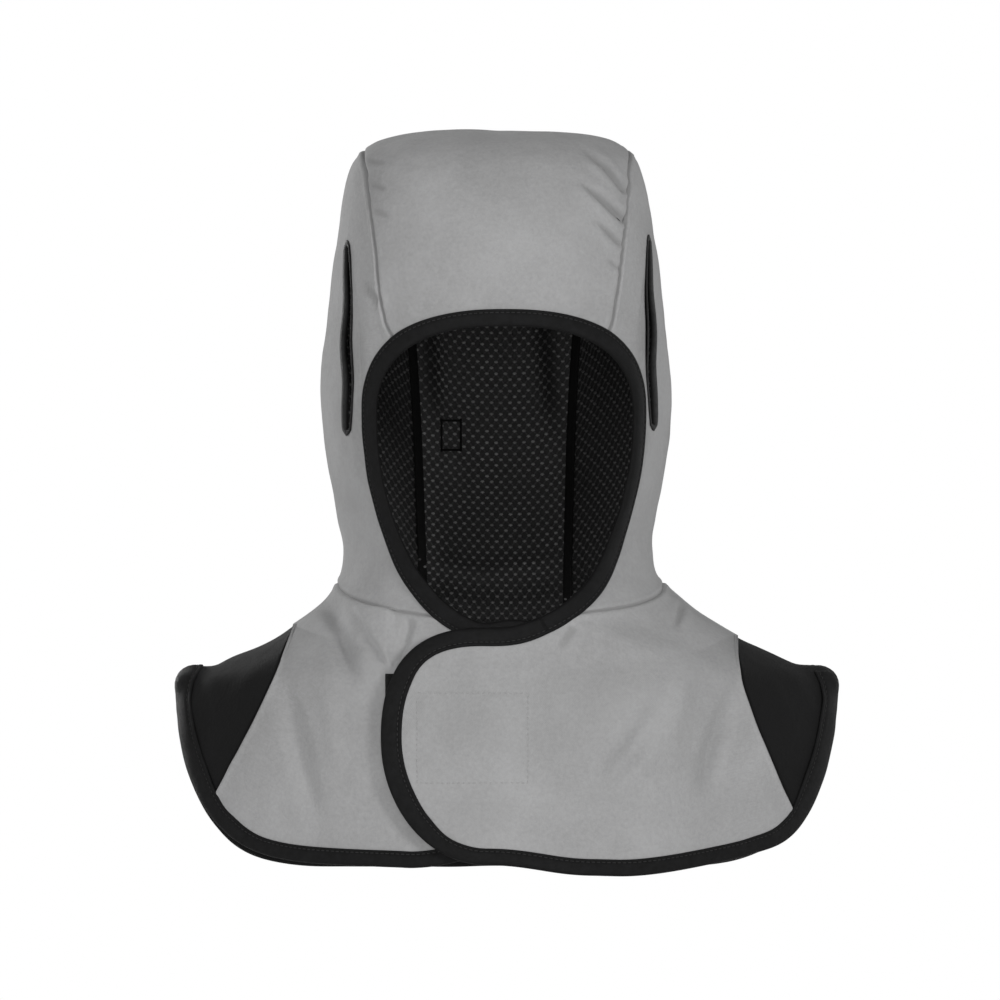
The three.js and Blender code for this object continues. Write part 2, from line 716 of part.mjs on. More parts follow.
// Angles at which a line over the crown, at a share of its width, meets the face's edge and the neck seam
function crownEnds(across) {
  const atFace = solve(BROW_ANGLES.from, BROW_ANGLES.to, (angle) => {
    const spot = asSpot(crownPoint(across, angle));
    const share = Math.min(Math.abs(spot.x - FACE.x) / FACE.half, 1);
    const edge = FACE.drop - FACE.above * (1 - share ** FACE.squareAbove) ** (1 / FACE.squareAbove);
    return spot.drop - edge;
  });
  const atNape = solve(NAPE_ANGLES.from, NAPE_ANGLES.to, (angle) => {
    const point = crownPoint(across, angle);
    return dropOf(point) - neckDrop(turnOf(point));
  });
  return { atFace, atNape };
}

// The crown's strip, with its long edges on the seams
function crownGrid(size) {
  const angleOfMargin = (margin) => THREE.MathUtils.radToDeg(margin / section(CROWN_PIVOT.drop).front);
  const sideMargin = SEAM_GAP / 2 / (2 * seamWidth.left(90));
  const ends = evenShares(size.columns).map((share) => {
    const across = mix(sideMargin, 1 - sideMargin, share);
    return { across, ...crownEnds(across) };
  });
  const inner = samples(size.rows - 2, (s) => mix(LINING_ENDS.face, 1 - LINING_ENDS.nape, s));
  return [0, ...inner, 1].map((row) => ends.map(({ across, atFace, atNape }) => {
    const from = atFace + angleOfMargin(CLOTH_MARGINS.face);
    const to = atNape - CLOTH_MARGINS.neck / NAPE_STEP;
    return crownPoint(across, mix(from, to, row));
  }));
}

const slotShare = (slot, drop) => (drop - slot.top) / (slot.bottom - slot.top);

function slotHalfAt(slot, drop, margin) {
  const share = THREE.MathUtils.clamp(slotShare(slot, drop), 0, 1);
  return mix(SLOT_HALF.end, SLOT_HALF.middle, Math.sin(Math.PI * share)) + margin;
}

function slotSpot(slot, drop, sideways) {
  const centre = onFront(mix(slot.topX, slot.bottomX, slotShare(slot, drop)), drop);
  const across = new THREE.Vector3(0, 0, 1).cross(normalAt(centre)).normalize();
  return settle(centre.addScaledVector(across, sideways));
}

// Both halves of a side panel, in front of the slit and behind it, as one grid
function sideGrid(side, size) {
  const slot = SLOTS[side];
  const sign = SIGN[side];
  const across = side === "left" ? 0 : 1;
  const { atFace, atNape } = crownEnds(across);
  const seam = (from, to) => samples(POINTS.seam, (s) => crownPoint(across, mix(from, to, s)));
  const facePart = 180 * (1 - across);
  const atSeam = solve(0, 80, (turned) => {
    const point = facePoint(facePart + sign * turned);
    return Math.abs(crownPoint(across, atFace).x) - Math.abs(point.x);
  });
  const faceTop = facePart + sign * atSeam;
  const faceLow = side === "left" ? faceStart.left + 360 : faceStart.right;
  const face = samples(POINTS.seam, (s) => facePoint(mix(faceTop, faceLow, s)));
  const nape = crownPoint(across, atNape);
  const frontTurn = turnOf(face[face.length - 1]);
  const slotTurn = sign * SLOT_LINE.neckTurn;
  const napeTurn = turnOf(nape);
  const lip = (facing) => {
    const start = crownPoint(across, SLOT_LINE.crownAngle + facing * SLOT_LINE.half);
    const end = neckPoint(slotTurn + sign * facing * SLOT_LINE.half);
    const past = SLOT_HALF.end + SLOT_CLOTH_MARGIN;
    const drops = samples(POINTS.lip, (s) => mix(slot.top - past, slot.bottom + past, s));
    const hand = sign * facing;
    const edge = drops.map((drop) => slotSpot(slot, drop, hand * slotHalfAt(slot, drop, SLOT_CLOTH_MARGIN)));
    const toStart = samples(POINTS.lip, (s) => settle(start.clone().lerp(edge[0], s))).slice(0, -1);
    const toEnd = samples(POINTS.lip, (s) => settle(edge[edge.length - 1].clone().lerp(end, s))).slice(1);
    const line = toStart.concat(edge, toEnd);
    const starts = along(toStart.concat([edge[0]])).length;
    const whole = along(line).length;
    return { line, from: starts / whole, to: (starts + along(edge).length) / whole };
  };
  const fore = lip(-1);
  const aft = lip(1);
  const rowShares = (from, to) => [
    ...samples(size.above, (s) => from * s),
    ...samples(size.slot, (s) => mix(from, to, s)).slice(1),
    ...samples(size.below - 1, (s) => mix(to, 1 - LINING_ENDS.side, s)).slice(1),
    1,
  ];
  const frontPatch = patch(
    {
      left: inset(face, EDGE_MARGIN, -sign),
      right: fore.line,
      top: seam(atFace, SLOT_LINE.crownAngle - SLOT_LINE.half),
      bottom: neckLine(frontTurn, slotTurn - sign * SLOT_LINE.half),
    },
    { left: 0, right: 0, top: CLOTH_MARGINS.seam, bottom: CLOTH_MARGINS.neck },
    rowShares(fore.from, fore.to),
    tapedShares(size.front),
  );
  const backPatch = patch(
    {
      left: aft.line,
      right: seam(CROWN_BACK, atNape),
      top: seam(SLOT_LINE.crownAngle + SLOT_LINE.half, CROWN_BACK),
      bottom: neckLine(slotTurn + sign * SLOT_LINE.half, napeTurn),
    },
    { left: 0, right: CLOTH_MARGINS.seam, top: CLOTH_MARGINS.seam, bottom: CLOTH_MARGINS.neck },
    rowShares(aft.from, aft.to),
    evenShares(size.back),
  );
  const grid = frontPatch.map((row, i) => row.concat(backPatch[i]));
  const isOpen = (row, column) => column === size.front && row >= size.above && row < size.above + size.slot;
  return { grid, isOpen };
}

// The lining lies under the shell's own grid, clear of the tapes and of the neck seam
function addHood() {
  const crown = crownGrid(GRIDS.crown);
  const liningOf = (grid, rise) => wall(grid, LINING_DEPTH, LINING_DEPTH + LINING, rise);
  add("crown_panel", wall(crown, 0, CLOTH, folded.both), GREY, ROUGHNESS.grey);
  add("lining_crown", liningOf(crown.slice(1, -1), folded.both), BLACK, ROUGHNESS.lining);
  for (const side of ["left", "right"]) {
    const { grid, isOpen } = sideGrid(side, GRIDS.side);
    add(`side_panel_${side}`, wall(grid, 0, CLOTH, folded[side], isOpen), GREY, ROUGHNESS.grey);
    const behindSlot = grid.slice(0, -1).map((row) => row.slice(GRIDS.side.front + 2));
    add(`lining_side_${side}`, liningOf(behindSlot, folded[side]), BLACK, ROUGHNESS.lining);
  }
}

// Neck cape
function shoulderLine(side, facing) {
  const from = neckDrop(SIGN[side] * 90);
  return ridgeLine(side, from, GUSSETS[side].ridgeDrop).concat(gussetLine(side, facing));
}

function addCape() {
  const names = { left: "front_flap_under", right: "front_flap_over" };
  for (const side of ["left", "right"]) {
    const sign = SIGN[side];
    const { points, corners } = flapEdge(side);
    const rim = inset(points, EDGE_MARGIN, -sign);
    const front = shoulderLine(side, -1);
    const neckStart = turnOf(points[0]) + sign * NECK_START;
    const hemStart = hemTurn(FLAP_ENDS[side].hemX);
    const hemEnd = turnOf(front[front.length - 1]);
    const hem = inset(hemLine(hemStart, hemEnd), EDGE_MARGIN, -sign);
    const flapGrid = patch(
      {
        left: rim.slice(corners.top, corners.bottom + 1),
        right: front,
        top: rim.slice(0, corners.top + 1).reverse().concat(neckLine(neckStart, sign * 90)),
        bottom: rim.slice(corners.bottom).concat(hem.slice(1)),
      },
      { left: 0, right: SEAM_GAP / 2, top: NECK_GAP / 2, bottom: 0 },
      evenShares(GRIDS.flap.rows),
      evenShares(GRIDS.flap.columns),
    );
    add(names[side], wall(flapGrid, 0, CLOTH, folded[side]), GREY, ROUGHNESS.grey);
    const gussetBack = gussetLine(side, 1);
    const gussetFront = gussetLine(side, -1);
    const backTurn = turnOf(gussetBack[gussetBack.length - 1]);
    const gusset = patch(
      {
        left: gussetFront,
        right: gussetBack,
        top: [gussetFront[0], gussetBack[0]],
        bottom: inset(hemLine(hemEnd, backTurn), TIP.margin, -sign),
      },
      { left: GUSSET_GAP, right: GUSSET_GAP, top: SEAM_GAP / 2, bottom: 0 },
      hemShares(GRIDS.gusset.rows),
      archShares(GRIDS.gusset.columns),
    );
    const gussetRise = side === "left" ? flat : lifted;
    add(`shoulder_gusset_${side}`, wall(gusset, 0, CLOTH, gussetRise), BLACK, ROUGHNESS.gusset);
  }
  const rightBack = shoulderLine("right", 1);
  const leftBack = shoulderLine("left", 1);
  const hemFrom = turnOf(rightBack[rightBack.length - 1]);
  const hemTo = turnOf(leftBack[leftBack.length - 1]) + 360;
  const hem = hemLine(hemFrom, hemTo);
  const back = patch(
    {
      left: rightBack,
      right: leftBack,
      top: neckLine(90, 270),
      bottom: inset(hem, EDGE_MARGIN, -1),
    },
    { left: SEAM_GAP / 2, right: SEAM_GAP / 2, top: NECK_GAP / 2, bottom: 0 },
    evenShares(GRIDS.back.rows),
    evenShares(GRIDS.back.columns),
  );
  add("back_cape", wall(back, 0, CLOTH, flat), GREY, ROUGHNESS.grey);
}

// Tapes and closure
function addEdgeBinding() {
  const face = samples(POINTS.face, (s) => facePoint(mix(faceStart.right, faceStart.left + 360, s)));
  const under = flapEdge("left").points;
  const hemFrom = hemTurn(FLAP_ENDS.left.hemX);
  const hemTo = hemTurn(FLAP_ENDS.right.hemX);
  const hem = samples(POINTS.wholeHem, (s) => hemPoint(mix(hemFrom, hemTo - 360, s)));
  const over = flapEdge("right").points.reverse();
  const points = face.concat(under.slice(1), hem.slice(1), over.slice(1, -1));
  const underEnd = face.length + under.length;
  const riseAt = (point, place) => {
    const isFaceLeft = place > face.length / 2 && place < face.length;
    const isUnder = place >= face.length && place < underEnd;
    const isHemLeft = place >= underEnd && place < underEnd + hem.length / 2;
    return isFaceLeft || isUnder || isHemLeft ? flat : lifted;
  };
  const steps = edgeSteps(points, EDGE_STEPS, riseAt);
  add("edge_binding", foldedTape(steps, EDGE_TAPE), BLACK, ROUGHNESS.tape);
}

function addSlotBinding(side) {
  const slot = SLOTS[side];
  const lip = (hand) => samples(SLOT_STEPS.side, (s) => {
    const drop = mix(slot.top, slot.bottom, s);
    return slotSpot(slot, drop, hand * slotHalfAt(slot, drop, 0));
  });
  const end = (drop, up) => samples(SLOT_STEPS.end, (s) => {
    const turn = Math.PI * s;
    return slotSpot(slot, drop - up * SLOT_HALF.end * Math.sin(turn), up * SLOT_HALF.end * Math.cos(turn));
  }).slice(1, -1);
  const points = lip(-1).concat(end(slot.bottom, -1), lip(1).reverse(), end(slot.top, 1));
  const count = points.length;
  const steps = points.map((point, i) => {
    const ahead = points[(i + 1) % count];
    const behind = points[(i + count - 1) % count];
    const inward = ahead.clone().sub(behind).cross(normalAt(point)).normalize();
    return { point, inward, rise: flat };
  });
  add(`slot_binding_${side}`, foldedTape(steps, SLOT_TAPE), BLACK, ROUGHNESS.tape);
}

function addClosure() {
  const grid = evenShares(GRIDS.patch.rows).map((row) => evenShares(GRIDS.patch.columns).map((column) => {
    return onFront(mix(PATCH.left, PATCH.right, column), mix(PATCH.top, PATCH.bottom, row));
  }));
  const inside = -PATCH.clear - PATCH.thickness;
  add("closure_patch", wall(grid, inside, -PATCH.clear, flat), BLACK, ROUGHNESS.patch);
}

addHood();
addCape();
addEdgeBinding();
addSlotBinding("left");
addSlotBinding("right");
addClosure();

export default root;
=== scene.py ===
import math
import bpy
import numpy as np
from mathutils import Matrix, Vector, noise


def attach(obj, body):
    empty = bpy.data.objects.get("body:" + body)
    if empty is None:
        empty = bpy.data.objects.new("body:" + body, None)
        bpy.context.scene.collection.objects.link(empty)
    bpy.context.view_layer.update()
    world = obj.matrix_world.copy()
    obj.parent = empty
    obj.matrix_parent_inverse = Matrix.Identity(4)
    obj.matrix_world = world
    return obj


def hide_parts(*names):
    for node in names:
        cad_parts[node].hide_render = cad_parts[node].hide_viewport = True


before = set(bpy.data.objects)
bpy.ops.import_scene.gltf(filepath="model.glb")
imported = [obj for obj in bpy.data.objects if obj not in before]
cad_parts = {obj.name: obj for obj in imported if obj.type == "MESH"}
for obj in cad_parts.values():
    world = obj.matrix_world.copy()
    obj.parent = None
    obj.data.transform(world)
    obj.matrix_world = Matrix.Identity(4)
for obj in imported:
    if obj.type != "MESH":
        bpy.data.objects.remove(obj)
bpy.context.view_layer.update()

# Sizes in millimetres. A drop is a distance down from the outside of the crown's top
MM = 0.001
CLOTH = 1.3
LINING = 1.0
LINING_DEPTH = 2.2
CROWN_TOP = 3.2

# The outer form: drop, half width, shift to the right, front depth, back depth, squareness across and along
FORM = np.array([
    (0, 0, 0, 0, 0, 2.3, 2.3),
    (1.2, 37, 0, 33, 39, 2.3, 2.3),
    (6, 68, 0, 60, 70, 2.5, 2.5),
    (13, 80, 0, 75, 87, 2.7, 2.7),
    (18, 84.5, 0, 82, 94, 2.8, 2.8),
    (30, 89, 0, 92, 104, 2.9, 2.9),
    (66, 95, 0, 105, 117, 2.85, 2.85),
    (114, 101.5, 0, 109, 122, 2.5, 2.5),
    (150, 105, 0, 108, 121, 2.3, 2.3),
    (174, 104.5, 0.3, 106, 117, 2.2, 2.2),
    (210, 99.6, 0.3, 102, 107, 2.15, 2.15),
    (234, 95, 0.5, 98, 97, 2.1, 2.1),
    (252, 92.4, 1.5, 96, 90, 2.1, 2.1),
    (270, 96.6, 2, 96, 88, 2.1, 2.1),
    (282, 107, 4.8, 97, 90, 2, 2),
    (294, 123, 5.6, 99, 94, 2, 1.9),
    (306, 142, 7, 102, 99, 2, 1.75),
    (318, 169, 6.4, 105, 104, 2, 1.55),
    (328, 190, 6.4, 108, 108, 2, 1.4),
    (340, 199.5, 6.4, 111, 112, 2, 1.35),
    (355, 203, 6.2, 114, 117, 2, 1.35),
    (380, 206, 6, 119, 124, 2, 1.35),
    (446, 206, 6, 130, 137, 2, 1.4),
    (470, 205, 6, 133, 140, 2, 1.4),
], float)
CAPE_MIDDLE = 6

FACE = dict(x=5.5, drop=172, half=77, above=53.2, square_above=2.45, below=125, square_below=2)

# Crown seams: angle from the brow over the top to the nape, half widths on the left and right
CROWN_SEAM = np.array([
    (-12, 57.5, 62),
    (-4, 66, 69.4),
    (0, 67.5, 70.5),
    (24, 72.6, 75.6),
    (50, 77, 78.8),
    (74, 79.5, 80.2),
    (100, 77, 77),
    (135, 67, 66),
    (180, 54.5, 52),
    (260, 45, 44),
], float)
PIVOT_Y, PIVOT_DROP = 5, 110
BROW_RADIUS = 109
CROWN_BACK = 150
NAPE_STEP = 2.4

NECK = dict(side=271.5, front=293, back=302, roundness=0.2)
HEM = dict(side=331, front=444.2, back=444.2, power=8.2, power_left=8.9, tilt=0.03)
# The front hem is drawn up by its right corner and a little on the left: how far, and between which x
HEM_LIFT = dict(right=8.8, rise=(70, 146), fall=(152, 190), left=2.0, left_fall=(-60, -10))

# Rounded ends of the front flaps: middle, half width, reach and squareness, and where the hem starts
FLAP_ENDS = {
    "left": dict(
        x=10, drop=362, half=66, above=69, below=70, square_above=2, square_below=2, hem_x=-52),
    "right": dict(
        x=-5, drop=365, half=-62, above=66, below=74.5, square_above=2.4, square_below=2, hem_x=58),
}
FLAP_LEAD = 0.4
OVERLAP = dict(lift=5.9, start=236, full=292, width=48, neck_x=45, cape_x=86, cape_drop=320)
GUSSETS = {
    "left": dict(ridge=297, middle=(-145, 352), hem_x=-174, apex=7),
    "right": dict(ridge=304, middle=(153, 346), hem_x=183, apex=7),
}
SLOTS = {
    "left": dict(top_x=-88.5, bottom_x=-88.5, top=73.5, bottom=177),
    "right": dict(top_x=91, bottom_x=93.6, top=70, bottom=174),
}
SLOT_END, SLOT_MIDDLE, SLOT_SWELL = 2.6, 4.6, 0.6
SLOT_WAVE, SLOT_TURNS = 1.3, 1.6
SLOT_CAP_SQUARE = 0.3
# The lip behind a slit lies over its opening and shows a broader tape than the lip before it
SLOT_LIPS = dict(fore=1.05, aft=0.3, fore_width=0.45, aft_width=1.55)
# That lip waves along its length: how far in shares of the half width, how often, and where it starts
LIP_WAVE = dict(reach=0.2, turns=2.2, start={"left": 0.4, "right": 1.6})
SLOT_SEAM_ANGLE = 46
SLOT_NECK_TURN = 60
SLOT_MARGIN = 1.2
TAPE_WIDTH, TAPE_HOLD, TAPE_EASE = 11.8, 5, 6
EDGE_MARGIN = 1.6
GUSSET_MARGIN, GUSSET_SUNK = 2.2, 0.3
PATCH = dict(left=-65.4, right=18.6, top=326, bottom=374)
PATCH_TOP, PATCH_THICKNESS = 1.8, 1.1
SIGN = {"left": -1, "right": 1}
# Where the corners of a flap's cloth lie on its rounded end, and how far its top starts along the neck seam
FLAP_CORNER = 48
NECK_START = 4

# Folds as seen from the front, as lines of x and drop that fade in from their first point: width, height,
# kind and side. A crease is sharp, a roll is soft, and a loose fold fades out again at its last point
FOLDS = [
    ([(52, 12), (65, 23), (75.6, 37)], 2.8, -3.4, "crease", "right"),
    ([(49, 30), (62, 42), (75.6, 55)], 2.8, -3.4, "crease", "right"),
    ([(60, 55), (73.5, 69)], 2.6, -1.8, "crease", "right"),
    ([(65, 78), (73.5, 84)], 2.4, -0.9, "crease", "right"),
    ([(56, 21), (75, 46)], 5, 1.5, "roll", "right"),
    ([(-65, 22), (-73.5, 20)], 2.4, -1.6, "crease", "left"),
    ([(-65, 38), (-72.8, 34)], 2.4, -1.6, "crease", "left"),
    ([(-63, 54), (-71.5, 50)], 2.4, -1.4, "crease", "left"),
    ([(-50, 25), (-66, 14)], 6, -1.2, "roll", "left"),
    ([(-80, 91), (-71, 104)], 2.8, -1.8, "crease", "left"),
    ([(-34, 86), (-44, 106)], 6, -0.9, "roll", "left"),
    ([(24, 94), (46, 109)], 5, -0.9, "roll", "right"),
    ([(-58, 318), (-52, 296)], 4.5, -3.2, "roll", "left"),
    ([(-84, 334), (-98, 288)], 9, -5.6, "roll", "left"),
    ([(107, 300), (111, 286)], 3, -1.8, "crease", "right"),
    ([(36, 314), (44, 301)], 3, -1.6, "crease", "right"),
    ([(45, 320), (52, 300)], 5, 1.4, "roll", "right"),
    ([(-106, 420), (-117, 370), (-130, 322)], 10, -4.6, "loose", "left"),
    ([(-92, 390), (-104, 320)], 10, 2.2, "loose", "left"),
    ([(56, 398), (78, 374), (100, 340)], 10, -5.0, "loose", "right"),
    ([(122, 402), (131, 366), (144, 332)], 9, -5.4, "loose", "right"),
    ([(100, 370), (116, 320)], 11, 2.8, "loose", "right"),
    ([(30, 352), (64, 322)], 10, 1.6, "loose", "right"),
]
# Folds at the back, as seen through the front
BACK_FOLDS = [
    ([(-62, 258), (-8, 266), (52, 258)], 5, -3.6),
    ([(-48, 280), (8, 286), (62, 276)], 5, -2.4),
    ([(-34, 318), (-58, 372), (-66, 428)], 10, -6.4),
    ([(30, 320), (52, 372), (58, 428)], 10, -6.2),
    ([(0, 330), (-6, 430)], 12, 4.0),
    ([(-120, 330), (-128, 410)], 10, -4.2),
    ([(128, 326), (138, 408)], 10, -4.2),
]
# A pleat on the left under the neck seam stands up as a flat triangle: corners as x and drop, height, edge
PLEAT_FLAT = [(-84, 286), (-62, 286), (-63.5, 321)]
PLEAT_RISE, PLEAT_EDGE = 3.3, 1.4


# Curves and the form
def spline(positions, values):
    secant = np.diff(values) / np.diff(positions)
    slope = np.concatenate([secant[:1], secant[:1], secant[1:]])
    before = positions[1:-1] - positions[:-2]
    after = positions[2:] - positions[1:-1]
    slope[1:-1] = (secant[:-1] * after + secant[1:] * before) / (before + after)
    slope[-1] = secant[-1]

    def at(x):
        i = np.searchsorted(positions[1:-1], x)
        span = positions[i + 1] - positions[i]
        t = (x - positions[i]) / span
        rise = t * t * (3 - 2 * t)
        leave = span * slope[i] * t * (1 - t) ** 2
        arrive = span * slope[i + 1] * t * t * (t - 1)
        return values[i] * (1 - rise) + values[i + 1] * rise + leave + arrive

    return at


FORM_STEPS = 6000
HALVINGS = 44
HEM_ROUNDS = 34
GRADIENT_STEP = 0.05
ROOTS = np.linspace(0, math.sqrt(FORM[-1, 0]), FORM_STEPS)
FORM_AT_ROOTS = [spline(np.sqrt(FORM[:, 0]), FORM[:, column])(ROOTS) for column in range(1, 7)]


def section(drop):
    """Half width, shift, front depth, back depth and both squarenesses."""
    at = np.sqrt(np.maximum(drop, 1e-4))
    return [np.interp(at, ROOTS, column) for column in FORM_AT_ROOTS]


def mix(a, b, t):
    return a + (b - a) * t


def smooth(low, high, value):
    t = np.clip((value - low) / (high - low), 0, 1)
    return t * t * (3 - 2 * t)


def drop_of(p):
    return CROWN_TOP - p[..., 2]


def points(x, y, z):
    return np.stack(np.broadcast_arrays(x, y, z), -1).astype(float)


def reach(p):
    half, shift, front, back, square, lens = section(drop_of(p))
    depth = np.where(p[..., 1] < 0, front, back)
    across = np.abs(p[..., 0] - shift) / half
    along = np.abs(p[..., 1]) / depth
    return (across ** square + along ** lens) ** (2 / (square + lens))


def gradient(p):
    out = np.empty_like(p)
    for axis in range(3):
        move = np.zeros(3)
        move[axis] = GRADIENT_STEP
        out[..., axis] = (reach(p + move) - reach(p - move)) / (2 * GRADIENT_STEP)
    return out


def unit(v):
    return v / np.maximum(np.linalg.norm(v, axis=-1, keepdims=True), 1e-12)


def normal(p):
    return unit(gradient(p))


def settle(p, rounds=6):
    p = p.copy()
    for _ in range(rounds):
        g = gradient(p)
        p += g * ((1 - reach(p)) / (g ** 2).sum(-1))[..., None]
    return p


def on_front(x, drop, facing=-1):
    half, shift, front, back, square, lens = section(drop)
    across = np.minimum(np.abs(x - shift) / half, 1)
    along = (1 - across ** square) ** (1 / lens)
    return points(x, facing * (front if facing < 0 else back) * along, CROWN_TOP - drop)


def around(turn, drop):
    half, shift, front, back, square, lens = section(drop)
    across, along = np.sin(np.radians(turn)), np.cos(np.radians(turn))
    depth = np.where(along > 0, front, back)
    side, ahead = np.abs(across) / half, np.abs(along) / depth
    radius = solve(0 * side, side + ahead + 300, lambda r: (r * side) ** square + (r * ahead) ** lens - 1)
    return points(shift + radius * across, -radius * along, CROWN_TOP - drop)


def turn_of(p):
    shift = section(drop_of(p))[1]
    return np.degrees(np.arctan2(p[..., 0] - shift, -p[..., 1]))


def solve(low, high, rising):
    low = np.asarray(low, float)
    high = np.asarray(high, float)
    for _ in range(HALVINGS):
        middle = (low + high) / 2
        below = rising(middle) < 0
        low = np.where(below, middle, low)
        high = np.where(below, high, middle)
    return (low + high) / 2


# Seams and edges
seam_left = spline(CROWN_SEAM[:, 0], CROWN_SEAM[:, 1])
seam_right = spline(CROWN_SEAM[:, 0], CROWN_SEAM[:, 2])


def crown_point(across, angle):
    across, angle = np.broadcast_arrays(np.asarray(across, float), np.asarray(angle, float))
    x = mix(-seam_left(angle), seam_right(angle), across)
    forward = -np.cos(np.radians(angle))
    up = np.sin(np.radians(angle))
    spot = lambda d: points(x, PIVOT_Y + d * forward, CROWN_TOP - PIVOT_DROP + d * up)
    over = spot(solve(np.zeros_like(x), np.full_like(x, 260), lambda d: reach(spot(d)) - 1))
    behind = on_front(x, PIVOT_DROP + np.maximum(angle - 180, 0) * NAPE_STEP, 1)
    return np.where((angle > 180)[..., None], behind, over)


def neck_drop(turn):
    flat = around(turn, NECK["side"])
    front, back = section(NECK["side"])[2:4]
    ahead = flat[..., 1] < 0
    share = np.where(ahead, -flat[..., 1] / front, flat[..., 1] / back)
    soft = NECK["roundness"]
    rounded = (np.hypot(share, soft) - soft) / (math.hypot(1, soft) - soft)
    return mix(NECK["side"], np.where(ahead, NECK["front"], NECK["back"]), rounded)


def neck_point(turn):
    return around(turn, neck_drop(turn))


def hem_lift(x):
    right = HEM_LIFT["right"] * smooth(*HEM_LIFT["rise"], x) * (1 - smooth(*HEM_LIFT["fall"], x))
    return right + HEM_LIFT["left"] * (1 - smooth(*HEM_LIFT["left_fall"], x))


def hem_point(turn):
    turn = np.asarray(turn, float)
    drop = np.full_like(turn, HEM["front"])
    for _ in range(HEM_ROUNDS):
        p = around(turn, drop)
        half, shift = section(drop)[:2]
        across = np.minimum(np.abs(p[..., 0] - shift) / half, 1)
        front = HEM["front"] + HEM["tilt"] * (p[..., 0] - CAPE_MIDDLE)
        end = np.where(p[..., 1] < 0, front - hem_lift(p[..., 0]), HEM["back"])
        power = np.where(p[..., 0] < shift, HEM["power_left"], HEM["power"])
        drop = (drop + mix(HEM["side"], end, 1 - across ** power)) / 2
    return around(turn, drop)


def hem_turn(x):
    return float(solve(-89, 89, lambda turn: hem_point(turn)[..., 0] - x))


def egg(shape, degrees):
    across, up = np.cos(np.radians(degrees)), np.sin(np.radians(degrees))
    height = np.where(up > 0, shape["above"], shape["below"])
    square = np.where(up > 0, shape["square_above"], shape["square_below"])
    total = (np.abs(across) / abs(shape["half"])) ** square + (np.abs(up) / height) ** square
    radius = total ** (-1 / square)
    return shape["x"] + math.copysign(1, shape["half"]) * radius * across, shape["drop"] - radius * up


def face_point(degrees):
    return on_front(*egg(FACE, degrees))


def below_neck(degrees):
    p = face_point(degrees)
    return drop_of(p) - neck_drop(turn_of(p))


FACE_START = {"right": float(solve(-40, -88, below_neck)), "left": float(solve(-140, -92, below_neck))}


def bezier(a, b, c, d, count):
    t = np.linspace(0, 1, count)[:, None]
    a, b, c, d = (np.array(v, float) for v in (a, b, c, d))
    spot = (1 - t) ** 3 * a + 3 * t * (1 - t) ** 2 * b + 3 * t * t * (1 - t) * c + t ** 3 * d
    return on_front(spot[:, 0], spot[:, 1])


def flap_edge(side):
    """A front flap's free edge, from the neck seam round its end to the hem, and its cloth's two corners."""
    end = FLAP_ENDS[side]
    first = face_point(FACE_START[side])
    before = face_point(FACE_START[side] + SIGN[side] * 2)
    x, drop = first[0], drop_of(first)
    slope = (drop - drop_of(before)) / (x - before[0])
    lead = (end["x"] - x) * FLAP_LEAD
    top = (end["x"], end["drop"] - end["above"])
    bottom = (end["x"], end["drop"] + end["below"])
    hem = hem_point(hem_turn(end["hem_x"]))
    hem_lead = (hem[0] - bottom[0]) * FLAP_LEAD
    start = bezier((x, drop), (x + lead, drop + lead * slope), (top[0] - lead, top[1]), top, 60)
    turns = np.arange(88, -90, -2.0)
    turned = on_front(*egg(end, turns))
    hem_drop = drop_of(hem)
    leave, arrive = (bottom[0] + hem_lead, bottom[1]), (hem[0] - hem_lead, hem_drop)
    last = bezier(bottom, leave, arrive, (hem[0], hem_drop), 60)
    corners = [len(start) + int(np.abs(turns - turn).argmin()) for turn in (FLAP_CORNER, -FLAP_CORNER)]
    return np.concatenate([start, turned, last]), corners


def gusset_line(side, facing, count=240):
    gusset = GUSSETS[side]
    ridge = around(SIGN[side] * 90, gusset["ridge"])
    apex = settle(np.array([ridge[0], facing * gusset["apex"] / 2, ridge[2]]))
    hem = hem_point(hem_turn(gusset["hem_x"]))
    start = np.array([apex[0], drop_of(apex)])
    end = np.array([hem[0], drop_of(hem)])
    bend = 2 * np.array(gusset["middle"]) - (start + end) / 2
    t = np.linspace(0, 1, count)[1:, None]
    spot = (1 - t) ** 2 * start + 2 * t * (1 - t) * bend + t * t * end
    line = on_front(spot[:, 0], spot[:, 1], facing)
    if facing > 0:
        turn = solve(-89, 89, lambda turn: hem_point(SIGN[side] * 180 - turn)[..., 0] - line[-1, 0])
        line[-1] = hem_point(SIGN[side] * 180 - turn)
    return np.concatenate([apex[None], line])


def shoulder_line(side, facing):
    drops = np.linspace(float(neck_drop(SIGN[side] * 90.0)), GUSSETS[side]["ridge"], 60)
    return np.concatenate([around(SIGN[side] * 90.0, drops), gusset_line(side, facing)])


def neck_line(start, end):
    return neck_point(np.linspace(start, end, 240))


def hem_line(start, end):
    return hem_point(np.linspace(start, end, 400))


def inward_of(line, closed=False):
    if closed:
        tangent = np.roll(line, -1, 0) - np.roll(line, 1, 0)
    else:
        tangent = np.gradient(line, axis=0)
    return unit(np.cross(tangent, normal(line)))


def inset(line, distance, hand):
    return settle(line + inward_of(line) * hand * distance)


# Grids over the form
def lengths(line):
    return np.concatenate([[0], np.cumsum(np.linalg.norm(np.diff(line, axis=0), axis=1))])


def read_at(values, at, where):
    """Values such as points, known at some lengths, read at other lengths."""
    return np.stack([np.interp(where, at, values[:, axis]) for axis in range(3)], -1)


def read(line, shares):
    at = lengths(line)
    return read_at(line, at, np.asarray(shares) * at[-1])


def meeting(first, second):
    away = np.linalg.norm(first[:, None] - second[None], axis=-1)
    i, j = np.unravel_index(away.argmin(), away.shape)
    return i, j, (first[i] + second[j]) / 2


